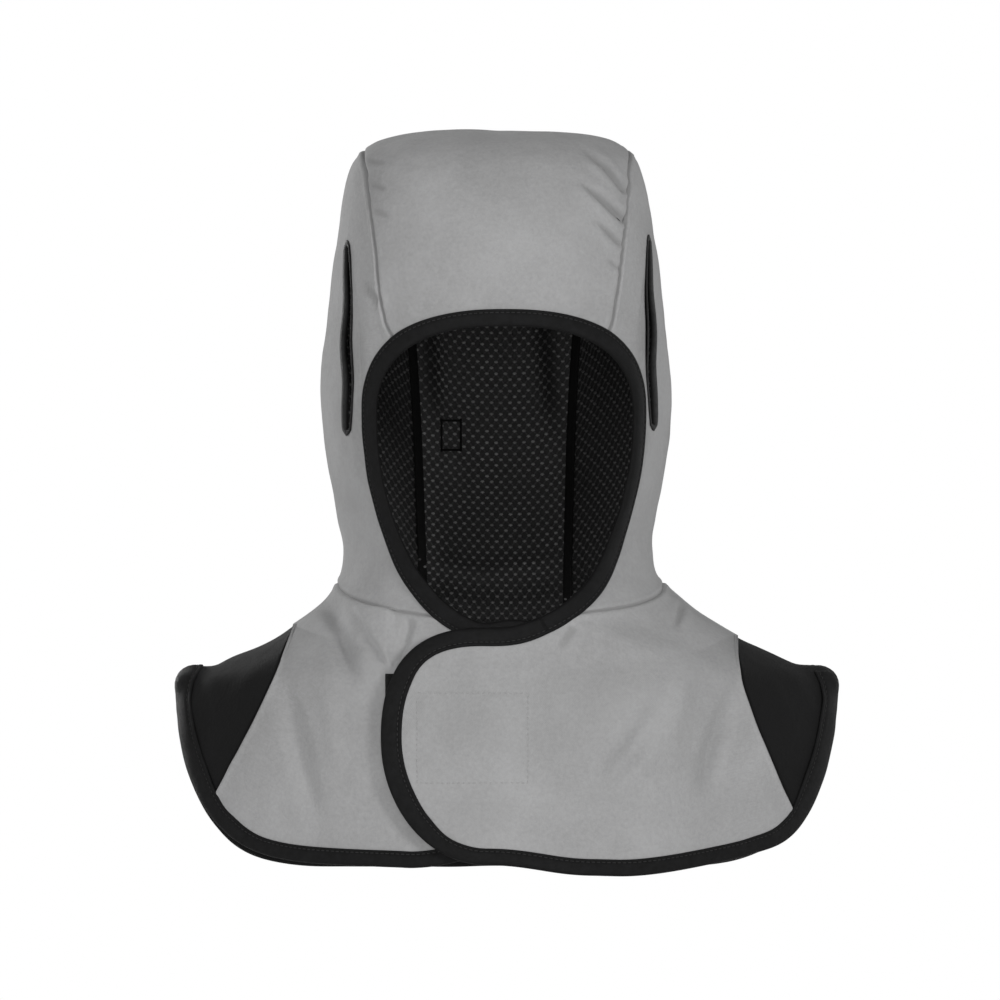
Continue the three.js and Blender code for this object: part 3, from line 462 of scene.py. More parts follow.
def patch(left, right, top, bottom, rows, columns):
    """Points of the form between four edges; left and right run down, top and bottom to the right."""
    tl, tr = meeting(left, top), meeting(right, top)
    bl, br = meeting(left, bottom), meeting(right, bottom)
    between = lambda line, i, j, a, b: np.concatenate([a[None], line[i + 1:j], b[None]])
    left = between(left, tl[0], bl[0], tl[2], bl[2])
    right = between(right, tr[0], br[0], tr[2], br[2])
    top = between(top, tl[1], tr[1], tl[2], tr[2])
    bottom = between(bottom, bl[1], br[1], bl[2], br[2])
    u = np.asarray(columns)[None, :, None]
    v = np.asarray(rows)[:, None, None]
    sides = read(left, rows)[:, None] * (1 - u) + read(right, rows)[:, None] * u
    ends = read(top, columns)[None] * (1 - v) + read(bottom, columns)[None] * v
    corners = (1 - v) * ((1 - u) * tl[2] + u * tr[2]) + v * ((1 - u) * bl[2] + u * br[2])
    return settle(sides + ends - corners)


SEAM_STEPS = np.array([0, 0.5, 1.0, 1.6, 2.4, 3.4, 4.6, 6.0])


def shares(length, pitch=2.6, start=False, end=False):
    """Shares of a length at a pitch, with finer steps beside a seam."""
    low = SEAM_STEPS[-1] if start else 0
    high = length - (SEAM_STEPS[-1] if end else 0)
    middle = np.linspace(low, high, max(3, int(round((high - low) / pitch)) + 1))
    before = SEAM_STEPS[:-1] if start else []
    after = length - SEAM_STEPS[-2::-1] if end else []
    return np.concatenate([before, middle, after]) / length


# How far the cloth stands off the form
# Strength of the painted shade along a sharp crease
CREASE_SHADE = 0.6
# A crease falls off sharply between low lips; distances are in fold widths
CREASE_FALL = 2.2
CREASE_LIPS = dict(height=0.4, at=1.5, spread=0.8)
FADE_IN, FADE_OUT = (-0.1, 0.45), (0.55, 1.1)
# How far from the middle of the sides, in y, the folds of the front and the back reach their height
RIDGE_FRONT, RIDGE_BACK = 22, 30


def beside(spot, line):
    """Distance of flat points from a line, and the share of its length they lie beside."""
    nearest = np.full(spot.shape[:-1], np.inf)
    share = np.zeros(spot.shape[:-1])
    line = np.array(line, float)
    runs = np.diff(line, axis=0)
    size = np.linalg.norm(runs, axis=1)
    passed = np.concatenate([[0], np.cumsum(size)])
    for start, run, length, before in zip(line, runs, size, passed):
        away = spot - start
        along = np.clip((away @ run) / length ** 2, 0, 1)
        distance = np.linalg.norm(away - along[..., None] * run, axis=-1)
        share = np.where(distance < nearest, (before + along * length) / passed[-1], share)
        nearest = np.minimum(nearest, distance)
    return nearest, share


def fold_height(p, side):
    """How far the folds of a side, and those at the back, raise or lower each point."""
    height = np.zeros(p.shape[:-1])
    spot = np.stack([p[..., 0], drop_of(p)], -1)
    for line, width, size, kind, where in FOLDS:
        if side not in (where, "both"):
            continue
        distance, share = beside(spot, line)
        distance = distance / width
        if kind == "crease":
            lips = np.exp(-((distance - CREASE_LIPS["at"]) / CREASE_LIPS["spread"]) ** 2)
            profile = np.exp(-CREASE_FALL * distance) - CREASE_LIPS["height"] * lips
        else:
            profile = (1 - 0.9 * distance ** 2) * np.exp(-1.6 * distance ** 2)
        fade = smooth(*FADE_IN, share)
        if kind == "loose":
            fade = fade * (1 - smooth(*FADE_OUT, share))
        height += size * fade * profile
    if side == "left":
        inside = np.full(p.shape[:-1], np.inf)
        for (x0, drop0), (x1, drop1) in zip(PLEAT_FLAT, PLEAT_FLAT[1:] + PLEAT_FLAT[:1]):
            away = (x1 - x0) * (spot[..., 1] - drop0) - (drop1 - drop0) * (spot[..., 0] - x0)
            inside = np.minimum(inside, away / math.hypot(x1 - x0, drop1 - drop0))
        height += PLEAT_RISE * smooth(-PLEAT_EDGE, PLEAT_EDGE, inside)
    behind = np.zeros(p.shape[:-1])
    for line, width, size in BACK_FOLDS:
        distance, share = beside(spot, line)
        fade = smooth(*FADE_IN, share) * (1 - smooth(*FADE_OUT, share))
        behind += size * fade * np.exp(-1.3 * (distance / width) ** 2)
    ridge = np.where(spot[..., 1] > NECK["side"], smooth(0, RIDGE_FRONT, -p[..., 1]), p[..., 1] < 0)
    return height * ridge + behind * smooth(0, RIDGE_BACK, p[..., 1])


def fold_shade(p, side):
    """Painted shade: how dark each point is painted where it lies down in a sharp crease."""
    deep = np.zeros(p.shape[:-1])
    spot = np.stack([p[..., 0], drop_of(p)], -1)
    for line, width, size, kind, where in FOLDS:
        if kind == "crease" and side in (where, "both"):
            distance, share = beside(spot, line)
            line_shade = np.exp(-((distance / (0.55 * width)) ** 2)) * smooth(0, 0.6, share)
            deep = np.maximum(deep, CREASE_SHADE * min(1, abs(size) / 2) * line_shade)
    return np.where(p[..., 1] < 0, deep, 0)


def overlap_lift(p):
    drop = drop_of(p)
    inner = mix(OVERLAP["neck_x"], OVERLAP["cape_x"], smooth(OVERLAP["full"], OVERLAP["cape_drop"], drop))
    sideways = 1 - smooth(inner, inner + OVERLAP["width"], p[..., 0])
    lift = OVERLAP["lift"] * sideways * smooth(OVERLAP["start"], OVERLAP["full"], drop)
    return np.where(p[..., 1] > 0, 0, lift)


# The tips of the shoulders: from where to where in x, the lowest drop, length in y and height
TIP = dict(start=172, end=190, low=346, length=11, rise=5.5)


def tip_rise(p):
    """The tape and the gusset under it stand proud where the hem goes over a shoulder."""
    near = smooth(TIP["start"], TIP["end"], np.abs(p[..., 0] - CAPE_MIDDLE))
    near = near * (1 - smooth(HEM["side"], TIP["low"], drop_of(p)))
    return TIP["rise"] * near * np.exp(-((p[..., 1] / TIP["length"]) ** 2))


def ripple(p, size, height, seed):
    """Soft unevenness of draped cloth."""
    flat = p.reshape(-1, 3) / size + seed * 7.3
    values = np.array([noise.noise(Vector(v)) for v in flat])
    return height * values.reshape(p.shape[:-1])


def edge_distances(grid):
    """Distances of each point from the first and last column and the first and last row."""
    across = np.linalg.norm(np.diff(grid, axis=1), axis=-1)
    down = np.linalg.norm(np.diff(grid, axis=0), axis=-1)
    left = np.pad(np.cumsum(across, 1), ((0, 0), (1, 0)))
    top = np.pad(np.cumsum(down, 0), ((1, 0), (0, 0)))
    return left, left[:, -1:] - left, top, top[-1:] - top


def away_from(grid, line):
    """Distance of each point of a grid from a line."""
    flat = grid.reshape(-1, 1, 3)
    nearest = np.full(len(flat), np.inf)
    for block in np.array_split(line, 8):
        nearest = np.minimum(nearest, np.linalg.norm(flat - block[None], axis=-1).min(1))
    return nearest.reshape(grid.shape[:-1])


WELT_AT, WELT_SPREAD = 2.8, 1.6
GROOVE_SPREAD, SHADE_SPREAD = 0.9, 0.85


def seam_rise(distance, welt=0.5, groove=1.3):
    """Cloth sinks into a seam and stands up beside it, over the turned allowance."""
    stands = np.exp(-((distance - WELT_AT) / WELT_SPREAD) ** 2)
    return welt * stands - groove * np.exp(-((distance / GROOVE_SPREAD) ** 2))


def seam_shade(*distances):
    """How far each point is in the shade of a seam."""
    return np.exp(-((np.minimum.reduce(distances) / SHADE_SPREAD) ** 2))


# Meshes
def mesh_object(name, vertices, faces, material, uv=None):
    mesh = bpy.data.meshes.new(name)
    mesh.from_pydata((np.asarray(vertices) * MM).tolist(), [], [list(f) for f in faces])
    mesh.polygons.foreach_set("use_smooth", np.ones(len(mesh.polygons), bool))
    if uv is not None:
        loops = np.empty(len(mesh.loops), int)
        mesh.loops.foreach_get("vertex_index", loops)
        layer = mesh.uv_layers.new(name="cloth")
        layer.data.foreach_set("uv", np.asarray(uv, np.float32)[loops].ravel())
    mesh.materials.append(material)
    mesh.update()
    piece = bpy.data.objects.new(name, mesh)
    bpy.context.scene.collection.objects.link(piece)
    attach(piece, "root")
    return piece


def set_shade(piece, values):
    layer = piece.data.attributes.new("shade", "FLOAT", "POINT")
    layer.data.foreach_set("value", np.asarray(values, np.float32))


def facing_out(vertices, faces):
    a, b, c = (vertices[faces[:, i]] for i in range(3))
    d = vertices[faces[:, 3]]
    volume = (a * np.cross(b, c)).sum() + (a * np.cross(c, d)).sum()
    return faces if volume > 0 else faces[:, ::-1]


def wall(name, grid, top, thickness, material, closed_cells=None, shade=None):
    """A closed sheet over a grid: top is how far its outer face stands off the form."""
    rows, columns = grid.shape[:2]
    n = normal(grid)
    outer = grid + n * top[..., None]
    inner = outer - n * thickness
    index = np.arange(rows * columns).reshape(rows, columns)
    cells = np.ones((rows - 1, columns - 1), bool) if closed_cells is None else closed_cells
    a, b = index[:-1, :-1][cells], index[1:, :-1][cells]
    c, d = index[1:, 1:][cells], index[:-1, 1:][cells]
    under = rows * columns
    faces = [np.stack([a, b, c, d], 1), np.stack([a, d, c, b], 1) + under]
    padded = np.pad(cells, 1)
    inside = padded[1:-1, 1:-1]

    def rim(neighbour, first, second):
        edge = inside & ~neighbour
        i, j = first[edge], second[edge]
        faces.append(np.stack([i, j, j + under, i + under], 1))

    rim(padded[:-2, 1:-1], index[:-1, :-1], index[:-1, 1:])
    rim(padded[2:, 1:-1], index[1:, 1:], index[1:, :-1])
    rim(padded[1:-1, :-2], index[1:, :-1], index[:-1, :-1])
    rim(padded[1:-1, 2:], index[:-1, 1:], index[1:, 1:])
    vertices = np.concatenate([outer.reshape(-1, 3), inner.reshape(-1, 3)])
    left, _, up, _ = edge_distances(grid)
    uv = np.stack([left - left[:, -1:] / 2, up], -1).reshape(-1, 2)
    faces = facing_out(vertices, np.concatenate(faces))
    used = np.unique(faces)
    place = np.full(len(vertices), -1)
    place[used] = np.arange(len(used))
    piece = mesh_object(name, vertices[used], place[faces], material, np.concatenate([uv, uv])[used])
    if shade is not None:
        set_shade(piece, np.concatenate([shade.ravel(), shade.ravel()])[used])
    return piece


def tube_loop(name, rings, material, shade):
    """A closed skin over rings of points, with a painted shade for each point of a ring."""
    steps, size = rings.shape[:2]
    now = np.arange(steps * size).reshape(steps, size)
    nxt = np.roll(now, -1, 0)
    faces = np.stack([now, nxt, np.roll(nxt, -1, 1), np.roll(now, -1, 1)], -1).reshape(-1, 4)
    vertices = rings.reshape(-1, 3)
    along, over = lengths(rings[:, 0]), lengths(rings[0])
    uv = np.stack(np.broadcast_arrays(over[None, :], along[:, None]), -1).reshape(-1, 2)
    piece = mesh_object(name, vertices, facing_out(vertices, faces), material, uv)
    set_shade(piece, np.tile(shade, steps))
    return piece


# Materials
def shader(name, colour, roughness, specular, sheen, sheen_roughness=0.5):
    material = bpy.data.materials.new(name)
    material.use_nodes = True
    bsdf = material.node_tree.nodes["Principled BSDF"]
    bsdf.inputs["Base Color"].default_value = (*colour, 1)
    bsdf.inputs["Roughness"].default_value = roughness
    bsdf.inputs["Specular IOR Level"].default_value = specular
    bsdf.inputs["Sheen Weight"].default_value = sheen
    bsdf.inputs["Sheen Roughness"].default_value = sheen_roughness
    return material, bsdf


def add_node(material, kind, **settings):
    node = material.node_tree.nodes.new(kind)
    for key, value in settings.items():
        if key in node.inputs:
            node.inputs[key].default_value = value
        else:
            setattr(node, key, value)
    return node


def link(material, source, target):
    material.node_tree.links.new(source, target)


def calculate(material, operation, first, second=None):
    node = add_node(material, "ShaderNodeMath", operation=operation)
    for socket, value in zip(node.inputs, (first, second)):
        if value is None:
            continue
        if isinstance(value, (int, float)):
            socket.default_value = value
        else:
            link(material, value, socket)
    return node.outputs[0]


def weighted(material, *parts):
    """The sum of values, each times its weight."""
    total = None
    for value, weight in parts:
        part = calculate(material, "MULTIPLY", value, weight)
        total = part if total is None else calculate(material, "ADD", total, part)
    return total


def shade_of(material):
    return add_node(material, "ShaderNodeAttribute", attribute_name="shade").outputs["Fac"]


def noise_of(material, scale, detail=2.0, roughness=0.5):
    place = add_node(material, "ShaderNodeTexCoord")
    node = add_node(material, "ShaderNodeTexNoise", Scale=scale, Detail=detail, Roughness=roughness)
    link(material, place.outputs["Object"], node.inputs["Vector"])
    return node.outputs["Fac"]


def threads(material, pitch_u, pitch_v):
    """Crossing threads from lengths over the cloth in millimetres."""
    place = add_node(material, "ShaderNodeUVMap", uv_map="cloth")
    split = add_node(material, "ShaderNodeSeparateXYZ")
    link(material, place.outputs["UV"], split.inputs[0])
    waves = []
    for axis, pitch in (("X", pitch_u), ("Y", pitch_v)):
        turn = calculate(material, "MULTIPLY", split.outputs[axis], 2 * math.pi / pitch)
        waves.append(calculate(material, "SINE", turn))
    return waves


DEEP_SHADE = 0.0012


def vary_colour(material, bsdf, value, dark, light, in_shade=None):
    """Blends from dark to light by a value, and to near black in the shade."""
    ramp = add_node(material, "ShaderNodeMapRange", clamp=False)
    ramp.inputs["From Min"].default_value = 0.3
    ramp.inputs["From Max"].default_value = 0.7
    link(material, value, ramp.inputs["Value"])
    blend = add_node(material, "ShaderNodeMix", data_type="RGBA")
    blend.inputs["A"].default_value = (*dark, 1)
    blend.inputs["B"].default_value = (*light, 1)
    link(material, ramp.outputs["Result"], blend.inputs["Factor"])
    colour = blend.outputs["Result"]
    if in_shade is not None:
        shaded = add_node(material, "ShaderNodeMix", data_type="RGBA")
        shaded.inputs["B"].default_value = (*grey(DEEP_SHADE), 1)
        link(material, colour, shaded.inputs["A"])
        link(material, in_shade, shaded.inputs["Factor"])
        colour = shaded.outputs["Result"]
    link(material, colour, bsdf.inputs["Base Color"])


def grey(value):
    return (value, value, value)


def raise_by(material, bsdf, height, distance, strength=1.0):
    bump = add_node(material, "ShaderNodeBump", Strength=strength, Distance=distance)
    link(material, height, bump.inputs["Height"])
    link(material, bump.outputs["Normal"], bsdf.inputs["Normal"])


def cloth_material(name, dark, light, roughness, sheen):
    """Plain woven cotton: crossing threads, slubs and soft colour changes, darkened by painted shade along
    seams and in creases.
    """
    material, bsdf = shader(name, light, roughness, 0.2, sheen)
    broad = noise_of(material, 22, 3)
    slubs = noise_of(material, 420, 3, 0.65)
    warp, weft = threads(material, 0.9, 0.9)
    weave = calculate(material, "MULTIPLY", warp, weft)
    # The shade attribute darkens the colour here: painted shade of seams and creases
    tone = weighted(material, (broad, 0.55), (slubs, 0.45), (weave, 0.1), (shade_of(material), -0.9))
    vary_colour(material, bsdf, tone, dark, light)
    creases = noise_of(material, 130, 4, 0.55)
    height = weighted(material, (weave, 0.5), (slubs, 1.6), (creases, 6))
    raise_by(material, bsdf, height, 0.00014, 0.9)
    return material


def tape_material(name, dark, light):
    """Black ribbed binding with a slight shine, darkened towards near black by painted shade at its rims and
    inside the slits.
    """
    material, bsdf = shader(name, light, 0.55, 0.14, 0.015, 0.4)
    ribs, rows = threads(material, 0.8, 0.55)
    mottle = noise_of(material, 260, 3, 0.6)
    vary_colour(material, bsdf, mottle, dark, light, shade_of(material))
    height = calculate(material, "ADD", calculate(material, "MULTIPLY", ribs, rows), mottle)
    raise_by(material, bsdf, height, 0.0001, 0.7)
    return material


def plain_material(name, dark, light, roughness, specular, scale, distance, sheen=0.0, shaded=0.0):
    material, bsdf = shader(name, light, roughness, specular, sheen)
    mottle = noise_of(material, scale, 3, 0.6)
    # The shade attribute paints shade towards near black, as strongly as shaded says
    in_shade = calculate(material, "MULTIPLY", shade_of(material), shaded) if shaded else None
    vary_colour(material, bsdf, mottle, dark, light, in_shade)
    raise_by(material, bsdf, mottle, distance, 0.7)
    return material


GREY_CLOTH = cloth_material("grey_cotton", grey(0.268), (0.354, 0.354, 0.357), 0.92, 0.1)
BLACK_CLOTH = cloth_material("black_cotton", grey(0.003), (0.0055, 0.0055, 0.0058), 0.85, 0.02)
TAPE = tape_material("black_binding", grey(0.003), (0.0066, 0.0066, 0.007))
SLIT_TAPE = tape_material("slit_binding", grey(0.016), (0.032, 0.032, 0.0325))
LINING_CROWN = plain_material("lining_ground", grey(0.034), grey(0.052), 0.85, 0.1, 600, 0.0003, shaded=0.7)
# The side linings are the same mesh as the crown's, in darker copies of its materials: painted shade
LINING_SIDE_SHADED = plain_material(
    "lining_side_ground", grey(0.014), grey(0.022), 0.85, 0.1, 600, 0.0003, shaded=1)
SEAM_TAPE = plain_material("lining_seam_tape", grey(0.0025), grey(0.005), 0.8, 0.15, 900, 0.0001)
NET = plain_material("lining_net", grey(0.042), grey(0.064), 0.6, 0.3, 900, 0.00005, shaded=0.7)
# The black mesh's knots are painted far lighter than its strands: painted highlight where the threads cross,
# besides their real shine
KNOT_HIGHLIGHT = plain_material("lining_knots", grey(0.13), grey(0.26), 0.5, 0.4, 60, 0.00005, shaded=0.7)
# Darker copies of the net and knots for the side linings: painted shade; their knots are also painted
# lighter as highlight
NET_SIDE_SHADED = plain_material("lining_side_net", grey(0.014), grey(0.024), 0.6, 0.3, 900, 0.00005)
KNOT_SIDE_SHADED = plain_material("lining_side_knots", grey(0.035), grey(0.08), 0.5, 0.4, 60, 0.00005)
PILE = plain_material("loop_pile", grey(0.004), grey(0.012), 0.95, 0.1, 1400, 0.0006, 0.1)
GREY_THREAD = plain_material("grey_thread", grey(0.27), grey(0.36), 0.8, 0.3, 2500, 0.0001)
BLACK_THREAD = plain_material("black_thread", grey(0.008), grey(0.016), 0.6, 0.4, 2500, 0.0001)


# Hood
def crown_ends(across):
    def past_edge(angle):
        p = crown_point(across, angle)
        share = np.minimum(np.abs(p[..., 0] - FACE["x"]) / FACE["half"], 1)
        square = FACE["square_above"]
        return drop_of(p) - (FACE["drop"] - FACE["above"] * (1 - share ** square) ** (1 / square))

    def past_neck(angle):
        p = crown_point(across, angle)
        return drop_of(p) - neck_drop(turn_of(p))

    across = np.asarray(across, float)
    one = np.ones_like(across)
    return solve(40 * one, -25 * one, past_edge), solve(200 * one, 280 * one, past_neck)


# About how long and wide the grids of the pieces are
CROWN_LENGTH, CROWN_FRONT, CROWN_WIDTH = 580, 200, 155
SIDE_LENGTHS = dict(above=58, slit=112, below=130, fore=45, aft=150)
FLAP_LENGTH, FLAP_WIDTH = 190, 290
GUSSET_LENGTH, GUSSET_WIDTH = 90, 230
BACK_LENGTH, BACK_WIDTH = 190, 420
# Unevenness of the cloth: size, height and seed
SHELL_RIPPLE = (42, 1.1, 1)
SHELL_FINE = (15, 0.45, 2)
GUSSET_RIPPLE = (34, 0.8, 5)
TAPE_RIPPLE = (16, 0.35, 8)
PILE_RIPPLE = (3, 0.3, 4)
# Flutes of the back hem: share, length and start of each wave
FLUTES = [(0.6, 13, 1), (0.4, 7.3, 2.2)]
FLUTE_HEIGHT, FLUTE_DROPS, FLUTE_DEPTHS = 2.2, (320, 430), (10, 60)


def drape(p):
    """Flutes of the cape's back, which run out over the hem."""
    flutes = sum(share * np.sin(p[..., 0] / length + start) for share, length, start in FLUTES)
    return FLUTE_HEIGHT * flutes * smooth(*FLUTE_DROPS, drop_of(p)) * smooth(*FLUTE_DEPTHS, p[..., 1])


def past_tape(edge):
    """Rises from 0 under the tape at a free edge to 1 past it."""
    return smooth(TAPE_WIDTH - TAPE_HOLD, TAPE_WIDTH + TAPE_EASE, edge)


def cloth_top(p, side, edge=None):
    """How the cloth stands off the form; it lies flat under the tape at a free edge."""
    top = fold_height(p, side) + ripple(p, *SHELL_RIPPLE) + ripple(p, *SHELL_FINE)
    if edge is not None:
        top = top * past_tape(edge)
    top = top + drape(p)
    return top + overlap_lift(p) if side == "right" else top


def crown_grid(columns, rows, start_margin):
    start, end = crown_ends(columns)
    start = start + math.degrees(start_margin / BROW_RADIUS)
    return crown_point(columns[None], mix(start[None], end[None], rows[:, None]))


def make_crown():
    columns = shares(CROWN_WIDTH, 1.9, start=True, end=True)
    front = shares(CROWN_FRONT, 1.7) * CROWN_FRONT
    rest = CROWN_LENGTH - CROWN_FRONT
    behind = CROWN_FRONT + shares(rest, 3.6, end=True) * rest
    grid = crown_grid(columns, np.concatenate([front[:-1], behind]) / CROWN_LENGTH, EDGE_MARGIN)
    left, right, up, down = edge_distances(grid)
    top = cloth_top(grid, "both", up) + seam_rise(left, 0.25) + seam_rise(right, 0.25) + seam_rise(down)
    shade = np.maximum(seam_shade(left, right, down), fold_shade(grid, "both"))
    return wall("crown_shell", grid, top, CLOTH, GREY_CLOTH, shade=shade)


def slot_share(slot, drop):
    return np.clip((drop - slot["top"]) / (slot["bottom"] - slot["top"]), 0, 1)


def slot_half(slot, drop):
    return mix(SLOT_END, SLOT_MIDDLE, np.sin(math.pi * slot_share(slot, drop)) ** SLOT_SWELL)


def waving(share, turns, start):
    return np.sin(2 * math.pi * turns * share + start) * np.sin(math.pi * share)


def slot_spot(slot, drop, sideways):
    share = slot_share(slot, drop)
    centre = on_front(mix(slot["top_x"], slot["bottom_x"], share), drop)
    across = unit(np.cross([0, 0, 1], normal(centre)))
    wave = SLOT_WAVE * waving(share, SLOT_TURNS, slot["top_x"])
    return settle(centre + across * (np.asarray(sideways) + wave)[..., None])


def side_grid(side):
    """Both halves of a side panel, before and behind the slit, and the cells that are cloth."""
    slot, sign = SLOTS[side], SIGN[side]
    across = 0.0 if side == "left" else 1.0
    at_face, at_nape = (float(v) for v in crown_ends(across))
    seam = lambda a, b: crown_point(across, np.linspace(a, b, 300))
    start_x = abs(float(crown_point(across, at_face)[0]))
    base = 180 * (1 - across)
    turned = solve(0, 80, lambda t: start_x - np.abs(face_point(base + sign * t)[..., 0]))
    low = FACE_START["left"] + 360 if side == "left" else FACE_START["right"]
    face = face_point(np.linspace(base + sign * float(turned), low, 300))
    front_turn, nape_turn = (float(turn_of(p)) for p in (face[-1], crown_point(across, at_nape)))
    slot_turn = sign * SLOT_NECK_TURN
    past = SLOT_END + SLOT_MARGIN
    drops = np.linspace(slot["top"] - past, slot["bottom"] + past, 160)

    def lip(facing):
        start = crown_point(across, SLOT_SEAM_ANGLE + facing * 2)
        end = neck_point(slot_turn + sign * facing * 2)
        edge = slot_spot(slot, drops, sign * facing * (slot_half(slot, drops) + SLOT_MARGIN))
        run = np.linspace(0, 1, 80)[:, None]
        above = settle(mix(start, edge[0], run))
        below = settle(mix(edge[-1], end, run))
        line = np.concatenate([above[:-1], edge, below[1:]])
        whole = lengths(line)[-1]
        first = lengths(above)[-1] / whole
        return line, first, first + lengths(edge)[-1] / whole

    fore, fore_from, fore_to = lip(-1)
    aft, aft_from, aft_to = lip(1)
    upper = shares(SIDE_LENGTHS["above"], start=True)
    middle = shares(SIDE_LENGTHS["slit"])
    lower = shares(SIDE_LENGTHS["below"], end=True)
    rows_of = lambda a, b: np.concatenate([upper * a, mix(a, b, middle)[1:], mix(b, 1, lower)[1:]])
    front = patch(
        inset(face, EDGE_MARGIN, -sign),
        fore,
        seam(at_face, SLOT_SEAM_ANGLE - 2),
        neck_line(front_turn, slot_turn - sign * 2),
        rows_of(fore_from, fore_to),
        shares(SIDE_LENGTHS["fore"], 2.2),
    )
    back = patch(
        aft,
        seam(CROWN_BACK, at_nape),
        seam(SLOT_SEAM_ANGLE + 2, CROWN_BACK),
        neck_line(slot_turn + sign * 2, nape_turn),
        rows_of(aft_from, aft_to),
        shares(SIDE_LENGTHS["aft"], end=True),
    )
    cells = np.ones((front.shape[0] - 1, front.shape[1] + back.shape[1] - 1), bool)
    cells[len(upper) - 1:len(upper) + len(middle) - 2, front.shape[1] - 1] = False
    return front, back, cells


def make_side(side):
    front, back, cells = side_grid(side)
    grid = np.concatenate([front, back], 1)
    left, right, up, down = edge_distances(grid)
    seams = seam_rise(up, 0.8) + seam_rise(down, groove=0.9) + seam_rise(right, 0.8)
    top = cloth_top(grid, side, left) + np.minimum(seams, 0.8 * past_tape(left))
    shade = np.maximum(seam_shade(up, down, right), fold_shade(grid, side))
    return wall(f"side_shell_{side}", grid, top, CLOTH, GREY_CLOTH, cells, shade), back


# Neck cape
def make_flap(side, name):
    sign = SIGN[side]
    edge, (upper, lower) = flap_edge(side)
    front = shoulder_line(side, -1)
    hem = hem_line(hem_turn(FLAP_ENDS[side]["hem_x"]), float(turn_of(front[-1])))
    free = np.concatenate([edge, hem[1:]])
    rim = inset(free, EDGE_MARGIN, -sign)
    neck = neck_line(float(turn_of(edge[0])) + sign * NECK_START, sign * 90)
    grid = patch(
        rim[upper:lower + 1],
        front,
        np.concatenate([rim[:upper + 1][::-1], neck]),
        rim[lower:],
        shares(FLAP_LENGTH, 1.9, start=True),
        shares(FLAP_WIDTH, 2.0, end=True),
    )
    to_neck, to_free = away_from(grid, neck), away_from(grid, free)
    seams = seam_rise(to_neck, groove=0.9) + seam_rise(edge_distances(grid)[1], 0.7)
    top = cloth_top(grid, side, to_free) + np.minimum(seams, past_tape(to_free))
    if side == "right":
        top = top + box_groove(grid)
    shade = np.maximum(seam_shade(to_neck), fold_shade(grid, side))
    return wall(name, grid, top, CLOTH, GREY_CLOTH, shade=shade)


BOX = dict(left=-45.6, right=18.6, top=338, bottom=391)
# The box's stitches draw the cloth down by this much, over a width, and the cloth inside stands up
BOX_GROOVE, BOX_WIDTH, BOX_RISE, BOX_EASE = 0.3, 1.8, 0.2, 6


def box_line(step=1.0):
    """The stitched box over the closure, once round."""
    turns = [("left", "top"), ("right", "top"), ("right", "bottom"), ("left", "bottom"), ("left", "top")]
    corners = [(BOX[x], BOX[drop]) for x, drop in turns]
    spots = []
    for (x0, d0), (x1, d1) in zip(corners, corners[1:]):
        count = int(math.hypot(x1 - x0, d1 - d0) / step)
        run = np.linspace(0, 1, count, endpoint=False)
        spots.append(np.stack([mix(x0, x1, run), mix(d0, d1, run)], 1))
    return np.concatenate(spots)


def box_groove(grid):
    """The cloth sinks along the box's stitches and stands up a little inside it."""
    x, drop = grid[..., 0], drop_of(grid)
    dx = np.maximum(BOX["left"] - x, x - BOX["right"])
    dd = np.maximum(BOX["top"] - drop, drop - BOX["bottom"])
    away = np.where((dx > 0) & (dd > 0), np.hypot(dx, dd), np.maximum(dx, dd))
    return -BOX_GROOVE * np.exp(-((away / BOX_WIDTH) ** 2)) + BOX_RISE * smooth(0, -BOX_EASE, away)


def make_gusset(side):
    sign = SIGN[side]
    front = gusset_line(side, -1)
    back = gusset_line(side, 1)
    hem = hem_line(float(turn_of(front[-1])), float(turn_of(back[-1])))
    grid = patch(
        front,
        back,
        np.stack([front[0], back[0]]),
        inset(hem, GUSSET_MARGIN, -sign),
        shares(GUSSET_LENGTH, 2.2),
        shares(GUSSET_WIDTH, 2.4, start=True, end=True),
    )
    left, right, _, down = edge_distances(grid)
    top = ripple(grid, *GUSSET_RIPPLE) + ripple(grid, *SHELL_FINE)
    top = top * past_tape(down) + seam_rise(left, 0) + seam_rise(right, 0) + tip_rise(grid)
    return wall(f"gusset_{side}", grid, top - GUSSET_SUNK, CLOTH, BLACK_CLOTH)


def make_back():
    right_line = shoulder_line("right", 1)
    left_line = shoulder_line("left", 1)
    hem = hem_line(float(turn_of(right_line[-1])), float(turn_of(left_line[-1])) + 360)
    grid = patch(
        right_line,
        left_line,
        neck_line(90, 270),
        inset(hem, EDGE_MARGIN, -1),
        shares(BACK_LENGTH, start=True),
        shares(BACK_WIDTH, 2.8, start=True, end=True),
    )
    left, right, up, down = edge_distances(grid)
    top = cloth_top(grid, "back", down) + seam_rise(left) + seam_rise(right) + seam_rise(up)
    return wall("back_shell", grid, top, CLOTH, GREY_CLOTH, shade=seam_shade(up))


